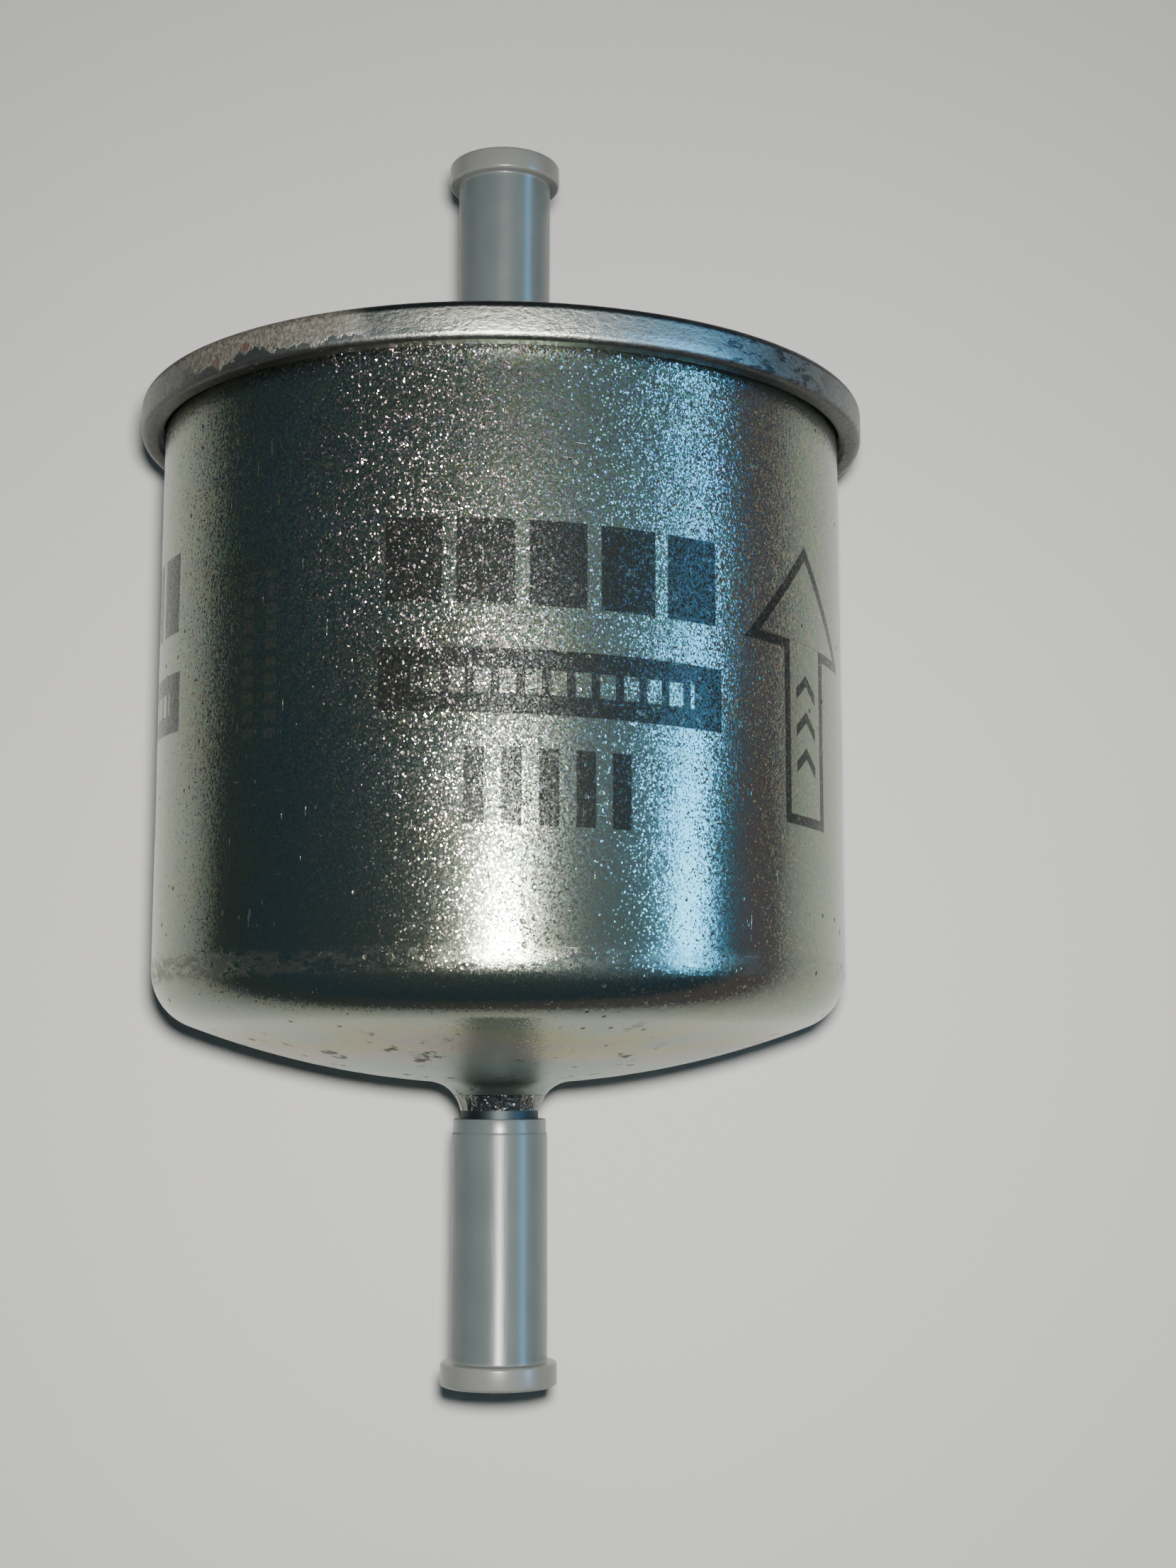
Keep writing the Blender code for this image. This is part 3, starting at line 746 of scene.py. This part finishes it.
def drilling_tree():
    """Drills rings of round holes, along the axis or outwards from it."""
    sizes = ["Ring Radius", "First Ring", "Ring Step", "Hole Radius", "Depth", "Outwards"]
    shaper = Shaper("drill_rings", ["Holes", "Rings"], [*sizes, "Axis Height"])
    given = shaper.given
    count = shaper.whole("MULTIPLY", given["Holes"], given["Rings"])
    index = shaper.node("GeometryNodeInputIndex")
    ring = shaper.whole("DIVIDE_FLOOR", index, given["Holes"])
    stagger = shaper.math("MODULO", ring, 2.0) * 0.5
    turn = (index + stagger) * math.tau / given["Holes"]
    sine = shaper.math("SINE", turn)
    cosine = shaper.math("COSINE", turn)
    radius = given["Ring Radius"]
    centre = shaper.point(
        sine * radius,
        given["First Ring"] + given["Ring Step"] * ring,
        given["Axis Height"] + cosine * radius,
    )
    points = shaper.node("GeometryNodePoints", None, {"Count": count, "Position": centre})
    outwards = given["Outwards"]
    direction = shaper.point(sine * outwards, 1.0 - outwards, cosine * outwards)
    facing = shaper.node(
        "FunctionNodeAlignRotationToVector", {"axis": "Z"}, {"Vector": direction}
    )
    drill = shaper.node(
        "GeometryNodeMeshCylinder",
        None,
        {"Vertices": 32, "Radius": given["Hole Radius"], "Depth": given["Depth"]},
        "Mesh",
    )
    drills = shaper.node(
        "GeometryNodeInstanceOnPoints",
        None,
        {"Points": points, "Instance": drill, "Rotation": facing},
    )
    drills = shaper.node("GeometryNodeRealizeInstances", None, {0: drills})
    cut = shaper.node(
        "GeometryNodeMeshBoolean",
        {"operation": "DIFFERENCE", "solver": "EXACT"},
        {"Mesh 1": given["Geometry"], "Mesh 2": drills},
        "Mesh",
    )
    return shaper.finish(cut)


def spring_tree():
    """A coil of round wire that climbs along the axis."""
    sizes = ["Turns", "Coil Radius", "Wire Radius", "Length", "Start", "Axis Height"]
    shaper = Shaper("coil_spring", sizes=sizes)
    given = shaper.given
    coil = shaper.node(
        "GeometryNodeCurveSpiral",
        None,
        {
            "Resolution": 64,
            "Rotations": given["Turns"],
            "Start Radius": given["Coil Radius"],
            "End Radius": given["Coil Radius"],
            "Height": given["Length"],
        },
    )
    x, y, rise = shaper.parts(shaper.node("GeometryNodeInputPosition"))
    laid = shaper.node(
        "GeometryNodeSetPosition",
        None,
        {"Geometry": coil, "Position": shaper.point(x, given["Start"] + rise, given["Axis Height"] + y)},
    )
    section = {"Resolution": 20, "Radius": given["Wire Radius"]}
    section = shaper.node("GeometryNodeCurvePrimitiveCircle", None, section)
    wire = {"Curve": laid, "Profile Curve": section, "Fill Caps": True}
    return shaper.finish(shaper.node("GeometryNodeCurveToMesh", None, wire))


def pleating_tree():
    """Paper folded back and forth round the axis, with rounded folds and a real thickness."""
    sizes = ["Outer Radius", "Core Radius", "Fold Radius", "Paper", "Length", "Start"]
    shaper = Shaper("pleated_paper", ["Pleats"], [*sizes, "Axis Height"])
    given = shaper.given
    zigzag = shaper.node(
        "GeometryNodeCurveStar",
        None,
        {
            "Points": given["Pleats"],
            "Inner Radius": given["Core Radius"],
            "Outer Radius": given["Outer Radius"],
        },
    )
    folded = shaper.node(
        "GeometryNodeFilletCurve",
        {"mode": "POLY"},
        {"Curve": zigzag, "Radius": given["Fold Radius"], "Count": 4, "Limit Radius": True},
    )
    x, y, _ = shaper.parts(shaper.node("GeometryNodeInputPosition"))
    laid = shaper.node(
        "GeometryNodeSetPosition",
        None,
        {"Geometry": folded, "Position": shaper.point(x, given["Start"], given["Axis Height"] + y)},
    )
    edge = shaper.node("GeometryNodeCurveToMesh", None, {"Curve": laid})
    wall = shaper.node(
        "GeometryNodeExtrudeMesh",
        {"mode": "EDGES"},
        {"Mesh": edge, "Offset": shaper.point(0.0, 1.0, 0.0), "Offset Scale": given["Length"]},
        "Mesh",
    )
    skin = shaper.node(
        "GeometryNodeExtrudeMesh",
        {"mode": "FACES"},
        {"Mesh": wall, "Offset Scale": given["Paper"], "Individual": False},
        "Mesh",
    )
    back = shaper.node("GeometryNodeFlipFaces", None, {"Mesh": wall})
    joined = shaper.tree.nodes.new("GeometryNodeJoinGeometry")
    for sheet_side in (skin, back):
        shaper.tree.links.new(sheet_side.socket, joined.inputs[0])
    both = Flow(shaper, joined.outputs[0])
    closed = shaper.node("GeometryNodeMergeByDistance", None, {0: both, "Distance": MERGE_CLOSER})
    return shaper.finish(closed)


TURNING = turning_tree()
DRILLING = drilling_tree()
SPRING = spring_tree()
PLEATING = pleating_tree()


# Pieces


def add_object(name, data):
    made = bpy.data.objects.new(name, data)
    bpy.context.scene.collection.objects.link(made)
    return made


def shaped(shaper, mesh, name, finish, **inputs):
    """The plain mesh that a tree makes, from another mesh or from none, facing outwards."""
    source = add_object(name + "_source", mesh or bpy.data.meshes.new(name + "_source"))
    modifier = source.modifiers.new("shape", "NODES")
    modifier.node_group = shaper.tree
    for label, value in inputs.items():
        modifier[shaper.ids[label.replace("_", " ").title()]] = value
    modifier[shaper.ids["Finish"]] = finish
    bpy.context.view_layer.update()
    evaluated = source.evaluated_get(bpy.context.evaluated_depsgraph_get())
    made = bpy.data.meshes.new_from_object(evaluated)
    bpy.data.objects.remove(source)
    bm = bmesh.new()
    bm.from_mesh(made)
    bmesh.ops.recalc_face_normals(bm, faces=bm.faces)
    bm.to_mesh(made)
    bm.free()
    made.shade_smooth()
    made.set_sharp_from_angle(angle=math.radians(35))
    made.name = name
    return made


def metres(**lengths):
    """Lengths in millimetres, as a tree's inputs take them."""
    return {name: length * MM for name, length in lengths.items()}


def body_of(node):
    return next(body for body, members in BODIES.items() if node in members)


def fit(name, mesh, node):
    """Puts a finished mesh in place of a CAD node, on that node's body."""
    piece = add_object(name, mesh)
    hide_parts(node)
    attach(piece, body_of(node))
    return piece


def finish_of(node):
    return FINISH_OF_SLOT[SLOT_OF[node]]


def turned(name, outline, node, sides=CAN_SIDES, waviness=0.0):
    """The mesh turned from an outline. One that starts on the axis also ends there."""
    line = list(outline)
    if line[0][1] > 0:
        line.append(line[0])
    flat = bpy.data.meshes.new(name + "_outline")
    flat.from_pydata([(out * MM, (START + along) * MM, 0.0) for along, out in line], [], [])
    sizes = metres(axis_height=AXIS, waviness=waviness)
    return shaped(TURNING, flat, name, finish_of(node), sides=sides, **sizes)


def turned_piece(name, outline, node, sides=CAN_SIDES, waviness=0.0):
    fit(name, turned(name, outline, node, sides, waviness), node)


def arc(centre, radius, start, end, steps):
    """Points on an arc. Angles are in degrees, from +along towards +out."""
    turns = [math.radians(start + (end - start) * i / steps) for i in range(steps + 1)]
    return [(centre[0] + radius * math.cos(a), centre[1] + radius * math.sin(a)) for a in turns]


def neck_arc(station, towards, radius, start, end, steps):
    """Points on the hollow curve that carries an end of the can into its pipe."""
    turns = [math.radians(start + (end - start) * i / steps) for i in range(steps + 1)]
    return [
        (station - towards * radius * math.cos(a), NECK_OUT - radius * math.sin(a)) for a in turns
    ]


def offset_line(line, distance):
    """The line moved to the left of its direction, with mitred corners."""
    points = [Vector(point) for point in line]
    moved = []
    for i, point in enumerate(points):
        sides = []
        if i > 0:
            sides.append((point - points[i - 1]).normalized())
        if i < len(points) - 1:
            sides.append((points[i + 1] - point).normalized())
        lefts = [Vector((-side.y, side.x)) for side in sides]
        mitre = sum(lefts, Vector((0, 0))).normalized()
        moved.append(tuple(point + mitre * distance / mitre.dot(lefts[0])))
    return moved


def sheet(line, thickness):
    """Outline of a pressed sheet with the line as one face. Its metal is to the line's left."""
    return line + offset_line(line, thickness)[::-1]


def can_shell():
    neck = math.degrees(math.asin(NECK_OUT / (DOME_R + NECK_R)))
    corner = math.degrees(math.atan2(CAN_R - CORNER_R, DOME_CENTRE))
    flange = SEAM_TOP - COVER_SHEET - SEAM_GAP - CAN_SHEET
    hook_r = CAN_R + COVER_SHEET + 2 * SEAM_GAP
    bend = 0.2
    line = neck_arc(INLET_NECK, -1, NECK_R, NECK_SHEET_TURN, neck, 14)
    line += arc((DOME_CENTRE, 0), DOME_R, 180 - neck, 180 - corner, 40)[1:]
    line += arc((0, CAN_R - CORNER_R), CORNER_R, 180 - corner, 90, 24)[1:]
    line += [(STRAIGHT_SIDE * i / 28, CAN_R) for i in range(1, 28)]
    line += arc((flange - bend, CAN_R + bend), bend, -90, 0, 4)
    line += arc((flange - bend, hook_r - bend), bend, 0, 90, 4)
    line += [(STRAIGHT_SIDE + COVER_SHEET + SEAM_GAP, hook_r)]
    turned_piece("can_shell", sheet(line, -CAN_SHEET), "housing_can", waviness=0.05)


def cover_shell():
    chuck_r = CAN_R - CAN_SHEET - SEAM_GAP - COVER_SHEET
    hook_r = CAN_R + SEAM_GAP
    sink = SEAM_TOP - 4.4
    roll = 0.8
    curl = 0.7
    bead = 0.7
    bead_r = 24.0
    line = neck_arc(OUTLET_NECK, 1, NECK_R, NECK_SHEET_TURN, 0, 14)
    half_bead = [(0.0, 2.4), (0.05, 2.0), (0.35, 1.5), (bead - 0.05, 1.0), (bead, 0.5)]
    line += [(COVER_PANEL + rise, bead_r - away) for rise, away in half_bead]
    line += [(COVER_PANEL + rise, bead_r + away) for rise, away in half_bead[::-1]]
    line += arc((COVER_PANEL - roll, 30.8), roll, 0, 75, 8)
    line += arc((sink + roll, chuck_r - roll), roll, 195, 90, 8)
    line += arc((SEAM_TOP - roll, chuck_r + roll), roll, -90, 0, 8)
    line += arc((SEAM_TOP - roll, SEAM_R - roll), roll, 0, 90, 10)
    line += arc((STRAIGHT_SIDE + curl, SEAM_R - curl), curl, 90, 180, 10)
    line += arc((STRAIGHT_SIDE + curl, hook_r + curl), curl, 180, 270, 8)
    line += [(STRAIGHT_SIDE + 1.6, hook_r)]
    turned_piece("cover_shell", sheet(line, COVER_SHEET), "end_cover", waviness=0.06)


def hose_tail(name, node, towards):
    """Drawn tube with its tip's edges broken."""
    low, high = span(node)
    tip, inner = (high, low) if towards > 0 else (low, high)
    tip, inner = tip - START, inner - START
    bore = PIPE_R - PIPE_WALL
    broken = 0.3
    shoulder = 0.09
    line = [(inner, bore), (inner, PIPE_R)]
    line += [(tip - towards * broken, PIPE_R), (tip - towards * shoulder, PIPE_R - shoulder)]
    line += [(tip, PIPE_R - broken), (tip, bore + 0.1), (tip - towards * 0.1, bore)]
    turned_piece(name, line, node, PIPE_SIDES)


def braze_fillet(name, node, neck, towards):
    start = NECK_SHEET_TURN + 0.8
    line = neck_arc(neck, towards, NECK_R, start, NECK_BRAZE_TURN, 10)
    inner = neck_arc(neck, towards, NECK_R + 0.5, start, start, 1)[0]
    line += [(inner[0], PIPE_R + 0.02), inner]
    turned_piece(name, line, node, PIPE_SIDES, waviness=0.10)


def transit_cap(name, node, towards):
    """Moulded cap: a slim mouth, a tube with a little draft, and a flanged closed end."""
    low, high = span(node)
    mouth = (low if towards > 0 else high) - START
    length = high - low
    bore_depth = length - CAP_END
    bore = PIPE_R + FIT_GAP
    edge_r = 0.35
    half = [(bore_depth, 0.0), (bore_depth, bore), (0.3, bore), (0.0, bore + 0.25)]
    half += [(0.0, CAP_R - 0.28), (0.05, CAP_R - 0.18), (0.18, CAP_R - 0.13)]
    half += [(CAP_LIP - 0.1, CAP_R - 0.13), (CAP_LIP, CAP_R - 0.03), (CAP_LIP + 0.12, CAP_R)]
    half += [(bore_depth - 0.25, CAP_R + 0.05), (bore_depth - 0.07, CAP_R + 0.12)]
    half += [(bore_depth, CAP_R + 0.3)]
    half += arc((bore_depth + edge_r, CAP_FLANGE_R - edge_r), edge_r, 180, 90, 6)
    half += arc((length - edge_r, CAP_FLANGE_R - edge_r), edge_r, 90, 0, 6)
    half += [(length, 1.6), (length - 0.25, 1.4), (length - 0.25, 0.0)]
    line = [(mouth + towards * along, out) for along, out in half]
    turned_piece(name, line, node, PIPE_SIDES, waviness=0.06)


def plain_ring(name, node, inner, outer, broken):
    """A ring with its edges broken, as long as its CAD node."""
    low, high = (place - START for place in span(node))
    line = [(low, inner + broken), (low, outer - broken), (low + broken, outer)]
    line += [(high - broken, outer), (high, outer - broken), (high, inner + broken)]
    line += [(high - broken, inner), (low + broken, inner)]
    sides = CAN_SIDES if outer > 20 else PIPE_SIDES
    return turned(name, line, node, sides)


def ring_piece(name, node, inner, outer, broken=0.08):
    fit(name, plain_ring(name, node, inner, outer, broken), node)


# Inside the can


END_CAP_SHEET = 0.5
END_CAP_R = 32.8
END_CAP_LIP = 3.4
SEAT_R = 6.4
SEAT_RISE = 1.2
CORE_R = 10.0
CORE_SHEET = 0.6
CORE_RINGS = 4
CORE_HOLE_R = 2.0
BAFFLE_SHEET = 0.6
BAFFLE_R = 27.8
BAFFLE_RING_R = 17.0
BAFFLE_HOLE_R = 3.5
POTTING_R = 31.9
WIRE_R = 0.6
SPRING_R = 7.6
SPRING_TURNS = 3.0
PLEATS = 32
PLEAT_R = 31.2
PLEAT_CORE_R = 11.8
FOLD_R = 0.45
PAPER = 0.6
GROMMET_R = 8.6
GROMMET_GROOVE_R = 6.8


def drilled(name, mesh, node, holes, rings, outwards, **lengths):
    """The mesh with rings of holes: along the axis, or outwards where that is 1."""
    sizes = metres(axis_height=AXIS, **lengths)
    counts = {"holes": holes, "rings": rings}
    return shaped(DRILLING, mesh, name, finish_of(node), outwards=outwards, **counts, **sizes)


def baffle_plate():
    _, high = span("inlet_baffle")
    face = high - START - SEAT_RISE - BAFFLE_SHEET
    skirt_r = BAFFLE_R - BAFFLE_SHEET
    line = [(SEAT_RISE, 0), (SEAT_RISE, SEAT_R - 1.3), (SEAT_RISE - 0.2, SEAT_R - 0.9)]
    line += [(0.2, SEAT_R - 0.4), (0, SEAT_R), (0, skirt_r - 0.9), (-0.2, skirt_r - 0.3)]
    line += [(-0.8, skirt_r), (-2.15, skirt_r)]
    line = [(face + along, out) for along, out in line]
    blank = turned("baffle_blank", sheet(line, -BAFFLE_SHEET), "inlet_baffle")
    mesh = drilled(
        "baffle_plate",
        blank,
        "inlet_baffle",
        holes=6,
        rings=1,
        outwards=0.0,
        ring_radius=BAFFLE_RING_R,
        first_ring=START + face,
        ring_step=0.0,
        hole_radius=BAFFLE_HOLE_R,
        depth=4.0,
    )
    fit("baffle_plate", mesh, "inlet_baffle")


def coil_spring():
    low, high = span("support_spring")
    mesh = shaped(
        SPRING,
        None,
        "coil_spring",
        finish_of("support_spring"),
        turns=SPRING_TURNS,
        **metres(
            coil_radius=SPRING_R,
            wire_radius=WIRE_R,
            length=high - low - 2 * WIRE_R,
            start=low + WIRE_R,
            axis_height=AXIS,
        ),
    )
    spring = fit("coil_spring", mesh, "support_spring")
    travel = next(j for j in frame["joints"] if j["name"] == "element_float")["range_m"][1]
    1 - travel / ((high - low) * MM)
    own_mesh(spring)


def end_caps():
    low, _ = span("closed_end_cap")
    face = low - START + SEAT_RISE
    line = [(-SEAT_RISE, 0), (-SEAT_RISE, SEAT_R - 1.3), (0.2 - SEAT_RISE, SEAT_R - 0.9)]
    line += [(-0.2, SEAT_R - 0.4), (0, SEAT_R), (0, END_CAP_R - 0.7), (0.2, END_CAP_R - 0.2)]
    line += [(0.7, END_CAP_R), (END_CAP_LIP, END_CAP_R)]
    line = [(face + along, out) for along, out in line]
    turned_piece("closed_cap", sheet(line, -END_CAP_SHEET), "closed_end_cap")

    _, high = span("outlet_end_cap")
    face = high - START
    line = [(0, GROMMET_GROOVE_R + FIT_GAP), (0, END_CAP_R - 0.7), (-0.2, END_CAP_R - 0.2)]
    line += [(-0.7, END_CAP_R), (-END_CAP_LIP, END_CAP_R)]
    line = [(face + along, out) for along, out in line]
    turned_piece("outlet_cap_plate", sheet(line, END_CAP_SHEET), "outlet_end_cap")


def pleats():
    low, high = span("pleated_media")
    mesh = shaped(
        PLEATING,
        None,
        "pleats",
        finish_of("pleated_media"),
        pleats=PLEATS,
        **metres(
            outer_radius=PLEAT_R,
            core_radius=PLEAT_CORE_R,
            fold_radius=FOLD_R,
            paper=PAPER,
            length=high - low,
            start=low,
            axis_height=AXIS,
        ),
    )
    fit("pleats", mesh, "pleated_media")


def perforated_tube():
    tube = plain_ring("tube_blank", "centre_tube", CORE_R - CORE_SHEET, CORE_R, 0.05)
    low, high = span("centre_tube")
    step = (high - low) / (CORE_RINGS + 1)
    mesh = drilled(
        "perforated_tube",
        tube,
        "centre_tube",
        holes=6,
        rings=CORE_RINGS,
        outwards=1.0,
        ring_radius=CORE_R,
        first_ring=low + step,
        ring_step=step,
        hole_radius=CORE_HOLE_R,
        depth=3.0,
    )
    fit("perforated_tube", mesh, "centre_tube")


def grommet():
    low, high = (place - START for place in span("outlet_grommet"))
    bore = PIPE_R + FIT_GAP
    groove_low = low + 1.4
    groove_high = groove_low + END_CAP_SHEET + 2 * FIT_GAP
    edge = 0.3
    line = [(low, bore + 0.1), (low, GROMMET_R - edge), (low + edge, GROMMET_R)]
    line += [(groove_low - 0.1, GROMMET_R), (groove_low, GROMMET_R - 0.1)]
    line += [(groove_low, GROMMET_GROOVE_R), (groove_high, GROMMET_GROOVE_R)]
    line += [(groove_high, GROMMET_R - 0.1), (groove_high + 0.1, GROMMET_R)]
    line += [(groove_high + 1.2, GROMMET_R), (groove_high + 1.5, GROMMET_R - 0.2)]
    line += [(high - 0.3, 6.2), (high, 5.8), (high, bore + 0.1), (high - 0.1, bore)]
    line += [(low + 0.1, bore)]
    turned_piece("grommet", line, "outlet_grommet", PIPE_SIDES)


def seam_clip():
    """The clip keeps its CAD shape and takes the tin plate's finish."""
    clip = frame["nodes"]["media_seam_clip"]
    clip.data.materials.clear()
    clip.data.materials.append(finish_of("media_seam_clip"))


def build_filter():
    can_shell()
    cover_shell()
    hose_tail("inlet_tail", "inlet_pipe", -1)
    hose_tail("outlet_tail", "outlet_pipe", 1)
    braze_fillet("inlet_fillet", "inlet_braze_ring", INLET_NECK, -1)
    braze_fillet("outlet_fillet", "outlet_braze_ring", OUTLET_NECK, 1)
    transit_cap("inlet_plug_cap", "inlet_transit_cap", -1)
    transit_cap("outlet_plug_cap", "outlet_transit_cap", 1)
    inner = CAN_R + 0.25
    ring_piece("seam_compound", "seam_seal", inner, inner + 0.5)
    baffle_plate()
    coil_spring()
    end_caps()
    for end in ("closed_end", "outlet_end"):
        ring_piece(end + "_resin", end + "_potting", CORE_R + 0.3, POTTING_R, 0.2)
    pleats()
    seam_clip()
    perforated_tube()
    sleeve_r = CORE_R + 0.4
    ring_piece("strainer", "strainer_sleeve", sleeve_r, sleeve_r + 0.5)
    grommet()


# Floor, lights and camera


def pale_floor():
    """Matt pale floor under the seam's rim and the can's corner, which the filter lies on."""
    paper = Finish("pale_floor", Roughness=0.8, Specular_IOR_Level=0.2)
    mist = paper.noise(0.012, 2.0)
    grain = paper.noise(1.5, 2.0, shift=4.0)
    pale = paper.blend(mist, colour(0.74, 0.75, 0.75), colour(0.78, 0.78, 0.78))
    paper.wear(Base_Color=pale)
    paper.relief(grain * 0.02)
    reach = 3.0
    rim = START + SEAM_TOP - SEAM_HEIGHT / 2
    slope = (SEAM_R - CAN_R) / (rim - START)
    corners = []
    for x, y in ((-reach, -reach), (reach, -reach), (reach, reach), (-reach, reach)):
        corners.append((x, y, -FLOOR_DROP * MM - (y - rim * MM) * slope))
    mesh = bpy.data.meshes.new("floor")
    mesh.from_pydata(corners, [], [(0, 1, 2, 3)])
    mesh.materials.append(paper.material)
    add_object("floor", mesh)


# Around the filter, in metres.
SURROUND_R = 0.29
SURROUND_H = 0.12
SURROUND_DROP = 0.02  # how far it reaches below the floor's height
CLOTH = (0.035, 0.030, 0.030, 1.0)
CLOTH_LEFT = (0.040, 0.062, 0.066, 1.0)
CLOTH_RIGHT = (0.180, 0.140, 0.155, 1.0)


def dark_surround():
    """A low dark wall round the filter, with a faint glow that grows from left to right.

    Only reflections show it.
    """
    cloth = bpy.data.materials.new("dark_cloth")
    cloth.use_nodes = True
    shader = cloth.node_tree.nodes["Principled BSDF"]
    nodes = Nodes(cloth.node_tree)
    across = nodes.parts(nodes.node("ShaderNodeTexCoord", output="Object"))[0]
    glow = nodes.blend(nodes.rise(across, -SURROUND_R, SURROUND_R), CLOTH_LEFT, CLOTH_RIGHT)
    nodes.feed(shader.inputs["Emission Color"], glow)
    shader.inputs["Emission Strength"].default_value = 1.0
    shader.inputs["Base Color"].default_value = CLOTH
    shader.inputs["Roughness"].default_value = 1.0
    shader.inputs["Specular IOR Level"].default_value = 0.0
    bm = bmesh.new()
    bmesh.ops.create_cone(
        bm, cap_ends=False, segments=64, radius1=SURROUND_R, radius2=SURROUND_R, depth=SURROUND_H
    )
    bmesh.ops.translate(bm, verts=bm.verts, vec=(0, 0, SURROUND_H / 2 - SURROUND_DROP))
    mesh = bpy.data.meshes.new("dark_surround")
    bm.to_mesh(mesh)
    bm.free()
    mesh.materials.append(cloth)
    wall = add_object("dark_surround", mesh)
    wall.visible_camera = False
    wall.visible_diffuse = False
    wall.visible_shadow = False


FLOOR_LEVEL_AIR = (0.048, 0.078, 0.096)
MIDDLE_AIR = (0.052, 0.086, 0.116)
TOP_AIR = (0.085, 0.110, 0.120)
CEILING_PATCH = (0.57, 0.12, 0.81)  # the direction of its middle
CEILING_GLOW = (0.135, 0.165, 0.180)
BACKDROP = (0.62, 0.63, 0.64, 1.0)
MATT_LOSS = 0.7  # how much less of the air's light falls on matt surfaces


def room():
    """Dim air above, and a pale backdrop that only the camera sees."""
    world = bpy.data.worlds.new("room")
    world.use_nodes = True
    bpy.context.scene.world = world
    nodes = Nodes(world.node_tree)
    background = world.node_tree.nodes["Background"]
    where = nodes.node("ShaderNodeTexCoord", output="Generated")
    height = nodes.parts(where)[2]
    air = nodes.ramp(height, [(0.0, FLOOR_LEVEL_AIR), (0.35, MIDDLE_AIR), (1.0, TOP_AIR)])
    # A paler stretch of ceiling, over to one side.
    pale = nodes.vector("DOT_PRODUCT", where, CEILING_PATCH, output="Value")
    air = nodes.vector("ADD", air, nodes.scaled(CEILING_GLOW, nodes.rise(pale, 0.62, 0.97)))
    direct = nodes.node("ShaderNodeLightPath", output="Is Camera Ray")
    matt = nodes.node("ShaderNodeLightPath", output="Is Diffuse Ray")
    air = nodes.scaled(air, 1.0 - matt * MATT_LOSS)
    nodes.feed(background.inputs["Color"], nodes.blend(direct, air, BACKDROP))


def lamp(name, place, towards, size, power, tint, shape="DISK"):
    light = bpy.data.lights.new(name, "AREA")
    light.shape = shape
    light.size = size[0]
    if shape == "RECTANGLE":
        light.size_y = size[1]
    light.energy = power
    light.color = tint
    made = add_object(name, light)
    made.location = place
    direction = Vector(towards) - Vector(place)
    made.rotation_euler = direction.to_track_quat("-Z", "Y").to_euler()
    made.visible_camera = False
    return made


# The camera looks down on the filter, tilted a little towards its outlet.
CAMERA_PLACE = (0.0092, -0.0334, 0.2626)
CAMERA_TILT = 7.65  # degrees
FOCAL = 1.3562  # as a multiple of the sensor's height
SENSOR_HEIGHT = 24.0


def camera():
    data = bpy.data.cameras.new("camera")
    data.sensor_fit = "VERTICAL"
    data.sensor_height = SENSOR_HEIGHT
    data.lens = data.sensor_height * FOCAL
    data.clip_start = 0.01
    made = add_object("camera", data)
    made.location = CAMERA_PLACE
    made.rotation_euler = (math.radians(CAMERA_TILT), 0.0, 0.0)
    bpy.context.scene.camera = made


# A small warm lamp next to the camera, and a long blue window low to the right.
KEY_PLACE = (0.0125, -0.023, 0.262)
KEY_SIZE = 0.012
KEY_POWER = 0.90
KEY_TINT = (1.0, 0.97, 0.90)
WINDOW_AWAY = 0.62
WINDOW_SLANT = 65.0  # degrees from straight up
WINDOW_DRIFT = 2.0  # degrees from straight right
WINDOW_LIFT = 0.07
WINDOW_SIZE = (0.38, 0.12)
WINDOW_POWER = 2.2
WINDOW_TINT = (0.12, 0.53, 0.97)


def lights():
    lamp("key", KEY_PLACE, (0.0, 0.0, 0.0), (KEY_SIZE,), KEY_POWER, KEY_TINT)
    slant = math.radians(WINDOW_SLANT)
    drift = math.radians(WINDOW_DRIFT)
    place = (
        WINDOW_AWAY * math.sin(slant) * math.cos(drift),
        WINDOW_AWAY * math.sin(slant) * math.sin(drift),
        WINDOW_AWAY * math.cos(slant) + WINDOW_LIFT,
    )
    towards = (0.017, -0.01, WINDOW_LIFT)
    pane = lamp("window", place, towards, WINDOW_SIZE, WINDOW_POWER, WINDOW_TINT, "RECTANGLE")
    pane.visible_diffuse = False


build_filter()
pale_floor()
dark_surround()
room()
lights()
camera()
